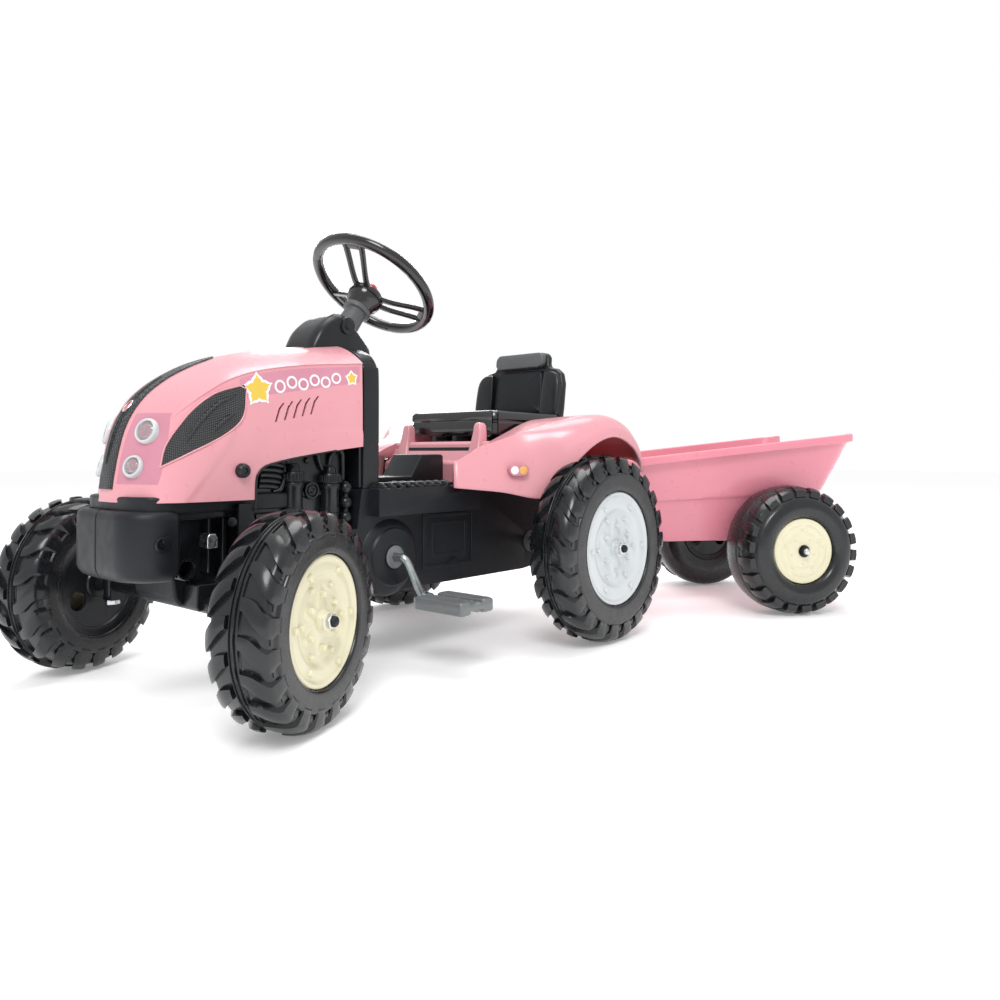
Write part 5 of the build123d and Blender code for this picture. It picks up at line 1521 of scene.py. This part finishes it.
for side in ("left", "right"):
    hull = finished(f"hull_{side}", trimmed(f"chassis_{side}"), BLACK, "chassis", (f"chassis_{side}",),
                    TRACTOR, 40)
    bevel(hull, 2.2, 3, 30)

BUMPER_HALF, BUMPER_NOSE, BUMPER_TAIL = 91, -104.5, -42


def bumper_outline(inset):
    """The bumper's left half seen from above, with a large front corner."""
    half, nose, tail, radius = BUMPER_HALF - inset, BUMPER_NOSE + inset, BUMPER_TAIL - min(inset, 3), 46
    ring = [(0.35 + min(inset, 1.5) * 0.4, tail), (half - 5, tail), (half, tail - 5)]
    for step in range(11):
        a = -step / 10 * pi / 2
        ring.append((half - radius + radius * cos(a), nose + radius + radius * sin(a)))
    return ring + [(20, nose), (2.2, nose), (0.35 + min(inset, 1.5) * 0.4, nose + 2)]


rings = []
for z, inset in ((158.6, 20), (159, 15), (160.6, 9.5), (164, 4.6), (169, 1.6), (175, 0.2), (200, 0),
                 (234, 0), (240, 0.8),
                 (243, 2.6), (245, 5.4), (245.6, 8.5), (245, 10.8), (243, 13.4), (242, 18)):
    rings.append([(x, y, z) for x, y in bumper_outline(inset)])
finished("bumper", flipped(loft(rings)), BLACK, "chassis", (), TRACTOR, 42)
bumper_bolt = spun([(0.01, 0.6), (3.4, 0.6), (4.2, -0.4), (5.4, -0.4), (6.2, 1.6), (8.4, 1.6), (9.4, 0.4),
                    (9.4, -3), (0.01, -3)],
                   (BUMPER_HALF, -66, 206), X, 40)
finished("bumper_bolts", flipped(bumper_bolt), SATIN, "chassis", (), TRACTOR, 40)

flange_plan = [(-84, 120), (-84, -58), (-76, -76), (-60, -86), (-44, -90), (44, -90), (60, -86),
               (76, -76), (84, -58), (84, 120)]
flange = finished("front_shelf", prism(flange_plan, "z", 240, 261.6), BLACK, "chassis", (), TRACTOR, 30)
bevel(flange, 3, 3)
channel_plan = [(-50, 176), (-34, 160), (-30, 132), (-22, 122), (18, 122), (26, 132), (32, 156),
                (60, 160), (60, 255), (-50, 255)]
bevel(finished("front_channel", prism(channel_plan, "x", -52, 52), BLACK, "chassis", (), TRACTOR, 30), 4,
      3)
cheeks = []
for y, low, high, tall in ((-6, -44, -38, 236), (24, 24, 31, 236), (8, 4, 9, 240)):
    cheeks.append(prism([(low, 162), (high, 162), (high, tall), (low, tall)], "x", 51, 70))
cheeks.append(prism([(-44, 232), (44, 232), (44, 246), (-44, 246)], "x", 51, 80))
cheeks.append(prism([(-15, 119), (15, 119), (19, 125), (17, 152), (-17, 152), (-19, 125)], "x", 51, 84))
bevel(finished("axle_housing", flipped(joined(cheeks)), SATIN, "chassis", (), TRACTOR, 30), 2, 3)
tube_end = spun([(9.4, -16), (9.4, 14), (10.4, 15.4), (12.6, 15.4), (13.6, 14), (13.6, -16)],
                (66, -30, 172), X, 48)
clamp = prism([(-7, 196), (7, 196), (7, 210), (4, 214), (-4, 214), (-7, 210)], "x", 68, 88)
finished("frame_tubes", flipped(tube_end), GLOSSY, "chassis", (), TRACTOR, 40)
bevel(finished("axle_clamps", flipped(clamp), ZINC, "chassis", (), TRACTOR, 30), 1.2, 3)
EAR = [(-73, 244), (-84, 261), (-84, 265), (-82, 267), (-77, 267), (-75, 265), (-64, 244)]
ears = [prism(EAR, "x", x, x + 4) for x in (3, 19)]
bevel(finished("hinge_ears", flipped(joined(ears)), BLACK, "chassis", (), TRACTOR, 30), 0.5, 2)

# ---- the hull's sides: crank bulge, raised frame and tread waves ----
boss_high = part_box("axle_bushes")[1]
HULL_X = 95
CRANK_Y, CRANK_Z = 283, 160
BOSS_X = (boss_high.x - TRACTOR.translation.x) / MM - 2.2
dome = spun(
    [(60, -3), (58, 0.5), (54, 5), (49, BOSS_X - HULL_X - 7), (44, BOSS_X - HULL_X - 3),
     (34, BOSS_X - HULL_X - 0.4),
     (22, BOSS_X - HULL_X + 0.6), (17, BOSS_X - HULL_X + 0.4), (15, BOSS_X - HULL_X - 1.5), (15, -3)],
    (HULL_X, CRANK_Y, CRANK_Z), X, 80)
finished("crank_bulges", flipped(dome), BLACK, "chassis", (), TRACTOR, 50)


def picture_frame(y0, y1, z0, z1, width, low, high):
    """A raised rectangular rim on the hull's side."""
    outline = [(y0, z0), (y1, z0), (y1, z1), (y0, z1)]
    outer = prism([(y, z) for y, z in outline], "x", low, high)
    inner = prism([(y0 + width, z0 + width), (y1 - width, z0 + width), (y1 - width, z1 - width),
                   (y0 + width, z1 - width)], "x",
                  low - 1, high + 1)
    return cut(outer, inner)


relief = [picture_frame(352, 470, 132, 232, 6, HULL_X - 2, HULL_X + 4.6),
          picture_frame(372, 452, 150, 206, 5, HULL_X - 2, HULL_X + 3.6)]
relief.append(prism([(352, 213), (470, 213), (470, 219), (352, 219)], "x", HULL_X - 2, HULL_X + 4.0))
relief.append(prism([(376, 154), (448, 154), (448, 202), (376, 202)], "x", HULL_X - 2, HULL_X + 1.0))
bevel(finished("hull_frames", flipped(joined(relief)), BLACK, "chassis", (), TRACTOR, 30), 1.0, 2)

waves = []
for k in range(9):
    y = 256 + k * 17
    path = smooth_line([Vector((x, y + 3.6 * sin(x / 7.5), 263.4 + 1.4 * sin(x / 7.5))) for x in range(66,
        117, 6)], 4)
    waves.append(tube(path, lambda t: 6.4 * min(1.0, 0.4 + 4 * min(t, 1 - t)), 14))
for k in range(7):
    y = 330 + k * 18
    path = smooth_line([Vector((x, y + 3.2 * sin(x / 7.5 + 1),
                                263.2 + 1.2 * sin(x / 7.5))) for x in range(38, 64, 6)], 4)
    waves.append(tube(path, lambda t: 6.0 * min(1.0, 0.4 + 4 * min(t, 1 - t)), 14))
finished("tread_waves", flipped(joined(waves)), BLACK, "chassis", (), TRACTOR, 50)

# ================= engine relief =================
BAY_X = 74
canisters = []
for y, z0 in ((124, 216), (186, 212)):
    canisters.append(spun(
        [(0.01, 0), (10.5, 0), (12.6, 1.6), (13, 4), (13, 18), (13.9, 19), (13.9, 24), (13, 25), (13, 50),
         (14.2, 52), (14.2, 57),
         (13.4, 58.5), (15.5, 60), (15.5, 71), (14.4, 73), (8.6, 73.6), (8.6, 79), (7.4, 80.5), (7.4, 83),
         (5.8, 84), (0.01, 84)],
        (80, y, z0), Z, 44))
    for k in range(22):
        a = 2 * pi * k / 22
        canisters.append(prism(polygon(8, 1.3, 0, (80 + 15.3 * cos(a), y + 15.3 * sin(a))), "z",
                               z0 + 61.5, z0 + 70))
finished("engine_jars", flipped(joined(canisters)), SATIN, "chassis", ("engine_canisters",), TRACTOR, 40)


def stack_radius(z, balls=(222, 243, 264)):
    return max([4.0] + [sqrt(max(0.0, 88 - (z - ball) ** 2)) for ball in balls])


fittings = [spun([(0.01, 212)] + [(stack_radius(212.8 + k * 0.84),
                                   212.8 + k * 0.84) for k in range(73)] + [(0.01, 274.4)],
                 (83, 212, 0), Z, 36)]
fittings.append(spun([(0.01, 5), (3.6, 5), (4.2, 7.4), (6.4, 7.4), (7, 4.6), (8.8, 4.6), (9.4, 8),
                      (11.6, 8), (12.4, 6.6), (12.4, -1),
                      (0.01, -1)], (BAY_X, 155, 262), X, 44))
for z in (228, 240, 252):
    fittings.append(prism([(66, z), (102, z), (102, z + 6), (66, z + 6)], "x", BAY_X - 1, BAY_X + 7))
for z in (224, 258):
    fittings.append(prism([(138, z - 3), (174, z - 3), (174, z + 3), (138, z + 3)], "x", BAY_X - 1,
                          BAY_X + 5))
finished_fittings = finished("engine_dials", flipped(joined(fittings)), SATIN, "chassis",
                             ("engine_fittings",), TRACTOR, 40)
bevel(finished_fittings, 1.0, 2, 50)
coil = []
for k in range(6):
    arc = [Vector((BAY_X + 2, 66 + k * 1.2 + 38 * sin(a), 270 + k * 7.4 - 4 + 5 * cos(a))) for a in (0.15,
        0.5, 0.9, 1.3, 1.6)]
    coil.append(tube(smooth_line(arc, 5), 3.9, 12))
pipes = [
    [(76, 118, 302), (78, 118, 316), (79, 128, 322), (79, 150, 322), (78, 164, 316), (77, 170, 300),
     (76, 176, 290)],
    [(76, 188, 298), (78, 190, 312), (78, 201, 319), (77, 210, 314), (76, 212, 300), (76, 212, 276)],
    [(77, 150, 226), (79, 156, 216), (79, 168, 213), (78, 176, 218)],
    [(76, 96, 262), (80, 104, 266), (79, 110, 280), (76, 112, 296)],
]
for points in pipes:
    coil.append(tube(smooth_line([Vector(p) for p in points], 8), 3.4, 12))
finished("engine_pipes", flipped(joined(coil)), SATIN, "chassis", (), TRACTOR, 60)
heads = []
for y, z in ((74, 318), (100, 330), (128, 334), (152, 340), (178, 344), (206, 348), (206, 226),
             (100, 226), (150, 304)):
    heads.append(spun([(0.01, 4.4), (3.4, 4.4), (4.6, 3.2), (4.8, -1), (0.01, -1)], (BAY_X, y, z), X, 6))
finished("engine_bolts", flipped(joined(heads)), SATIN, "chassis", (), TRACTOR, 30)

# ================= pedals =================
PEDAL_L, PEDAL_W, PEDAL_T = 95, 70, 20


def pedal(name, body, node):
    """A pedal: two ribbed treads on a plate, a boss by the arm and reflector pockets at the ends."""
    low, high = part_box(node)
    centre = (low + high) / 2
    to = axes(centre, X, Y, Z)
    half_l, half_w, half_t = PEDAL_L / 2, PEDAL_W / 2, PEDAL_T / 2
    meshes = []
    rings = []
    for z, inset in ((-5, 2.4), (-4, 0.8), (-3, 0.4), (3, 0.4), (4, 0.8), (5, 2.4)):
        rings.append([(x, y, z) for x, y in rounded(half_l - inset, half_w - 9 - inset, 5, 5)])
    meshes.append(loft(rings))
    for side in (-1, 1):
        rings = []
        for z, inset in ((-half_t + 0.1, 2.2), (-half_t + 1, 0.9), (-half_t + 2.6, 0.1),
                         (half_t - 3.4, 0.1), (half_t - 2, 0.9),
                         (half_t - 1.3, 2.2)):
            rings.append([(x, y + side * (half_w - 11.6), z) for x,
                          y in rounded(half_l - inset, 11.4 - inset, 4.5, 5)])
        meshes.append(loft(rings))
        for k in range(22):
            x = -half_l + 7 + k * (PEDAL_L - 14) / 21
            y = side * (half_w - 11.6)
            meshes.append(prism([(x - 1.1, half_t - 2), (x + 1.1, half_t - 2), (x + 0.6, half_t - 0.15),
                                 (x - 0.6, half_t - 0.15)],
                                "y", y - 8.6, y + 8.6))
            meshes.append(prism([(x - 1.1, 2 - half_t), (x + 1.1, 2 - half_t), (x + 0.6, 0.15 - half_t),
                                 (x - 0.6, 0.15 - half_t)],
                                "y", y - 8.6, y + 8.6))
    for x in (-28, 0, 28):
        meshes.append(block((x - 2.2, -half_w + 16, -6.4), (x + 2.2, half_w - 16, 6.4)))
    meshes.append(prism(polygon(28, 7.6), "x", -half_l + 0.5, half_l - 0.5))
    for end in (-1, 1):
        face = end * (half_l - 0.6)
        for side in (-1, 1):
            y = side * (half_w - 11.6)
            meshes.append(block((min(face, face - end * 3), y - 7, -4),
                                (max(face, face - end * 3), y + 7, 4)))
    piece = finished(name, joined(meshes), GREY, body, (node,), to, 35)


pedal("left_pedal_tread", "pedal_left", "pedal_left")
pedal("right_pedal_tread", "pedal_right", "pedal_right")

CARRIED = [
    ("front_axle_beam", SATIN, 1.0), ("knuckle_left", SATIN, 0.8), ("knuckle_right", SATIN, 0.8),
    ("tie_rod", SATIN, 0.8), ("kingpins", ZINC, 0.8), ("steering_shaft", STEEL, 0.6),
    ("column_bush", SLEEVE, 0.4), ("body_screws", SATIN, 0.6), ("bonnet_hinge_pins", STEEL, 0.3),
    ("engine_block", SATIN, 1.5),
    ("centre_tunnel", BLACK, 3.0), ("axle_bushes", GREY, 0.6), ("drive_chain", CHAIN, 0.4),
    ("rear_sprocket", STEEL, 0.4), ("chainwheel", STEEL, 0.4), ("rear_axle", STEEL, 0.6),
    ("crankshaft", STEEL, 0.5),
    ("seat_rail", SATIN, 0.8), ("hitch_bracket", SATIN, 1.2), ("hitch_pin", ZINC, 0.8),
    ("trailer_axle", STEEL, 0.5), ("trailer_axle_carriers", TUB_PINK, 1.5),
]

# ================= carried-over CAD nodes =================


def dressed(node, material, width=0.0, angle=30):
    """A CAD node that stays as it is, with its material and softened edges."""
    piece = frame["nodes"][node]
    piece.data.materials.clear()
    piece.data.materials.append(material)
    if width:
        weld = piece.modifiers.new("weld", "WELD")
        weld.merge_threshold = 0.00002
        bevel(piece, width, 3, angle)
        piece.data.polygons.foreach_set("use_smooth", [True] * len(piece.data.polygons))
        piece.data.set_sharp_from_angle(angle=radians(40))
    return piece


for node, material, width in CARRIED:
    dressed(node, material, width)

# ================= floor, light and camera =================


FLOOR_GLOW = 0.2


def floor_material():
    shader = Shader("studio_floor", 0.7)
    shader.colour(shader.blend(shader.noise(3), (0.95, 0.95, 0.955), (0.97, 0.97, 0.975)))
    shader.bump(shader.noise(400), 0.00002)
    shader.set("Emission Color", (1, 1, 1, 1))
    shader.set("Emission Strength", FLOOR_GLOW)
    return shader.material


floor = bpy.data.objects.new("floor", mesh_of([(-14, -14, 0), (14, -14, 0), (14, 14, 0), (-14, 14, 0)],
                                              [(0, 1, 2, 3)]))
bpy.context.scene.collection.objects.link(floor)
floor.data.materials.append(floor_material())
floor.location.z = -0.0006

WORLD_LIGHT = 0.80
world = bpy.data.worlds.new("studio")
world.use_nodes = True
background = world.node_tree.nodes["Background"]
background.inputs["Color"].default_value = (1, 1, 1, 1)
seen_directly = world.node_tree.nodes.new("ShaderNodeLightPath")
strength = world.node_tree.nodes.new("ShaderNodeMapRange")
strength.inputs["To Min"].default_value = WORLD_LIGHT
strength.inputs["To Max"].default_value = 1.0
world.node_tree.links.new(seen_directly.outputs["Is Camera Ray"], strength.inputs["Value"])
world.node_tree.links.new(strength.outputs["Result"], background.inputs["Strength"])
bpy.context.scene.world = world
bpy.context.scene.view_settings.view_transform = "Standard"


def softbox(name, place, size, power, aim=(0, 0, 0.25)):
    light = bpy.data.lights.new(name, "AREA")
    light.shape, light.size, light.energy = "DISK", size, power
    lamp = bpy.data.objects.new(name, light)
    lamp.location = place
    lamp.rotation_euler = (Vector(aim) - Vector(place)).to_track_quat("-Z", "Y").to_euler()
    bpy.context.scene.collection.objects.link(lamp)


softbox("key", (1.6, -2.2, 2.8), 1.5, 66)
softbox("top", (-0.4, 0.4, 3.2), 2.2, 50)
softbox("rim", (-2.4, 1.8, 1.8), 1.6, 45)

CAMERA_FROM_FRONT_AXLE = Vector((1.0213, -0.5459, 0.3146))
AZIMUTH, ELEVATION = radians(40.42), radians(-1.06)
camera = bpy.data.objects.new("camera", bpy.data.cameras.new("camera"))
bpy.context.scene.collection.objects.link(camera)
bpy.context.scene.camera = camera
camera.location = Vector((beam.x, beam.y, 0)) + CAMERA_FROM_FRONT_AXLE
back = Vector((sin(AZIMUTH) * cos(ELEVATION), -cos(AZIMUTH) * cos(ELEVATION), sin(ELEVATION)))
camera.rotation_euler = (-back).to_track_quat("-Z", "Y").to_euler()
camera.data.sensor_width = 36
camera.data.lens = 29.54
camera.data.shift_y = -0.0624
camera.data.clip_start = 0.02

low, high = CAD_BOX
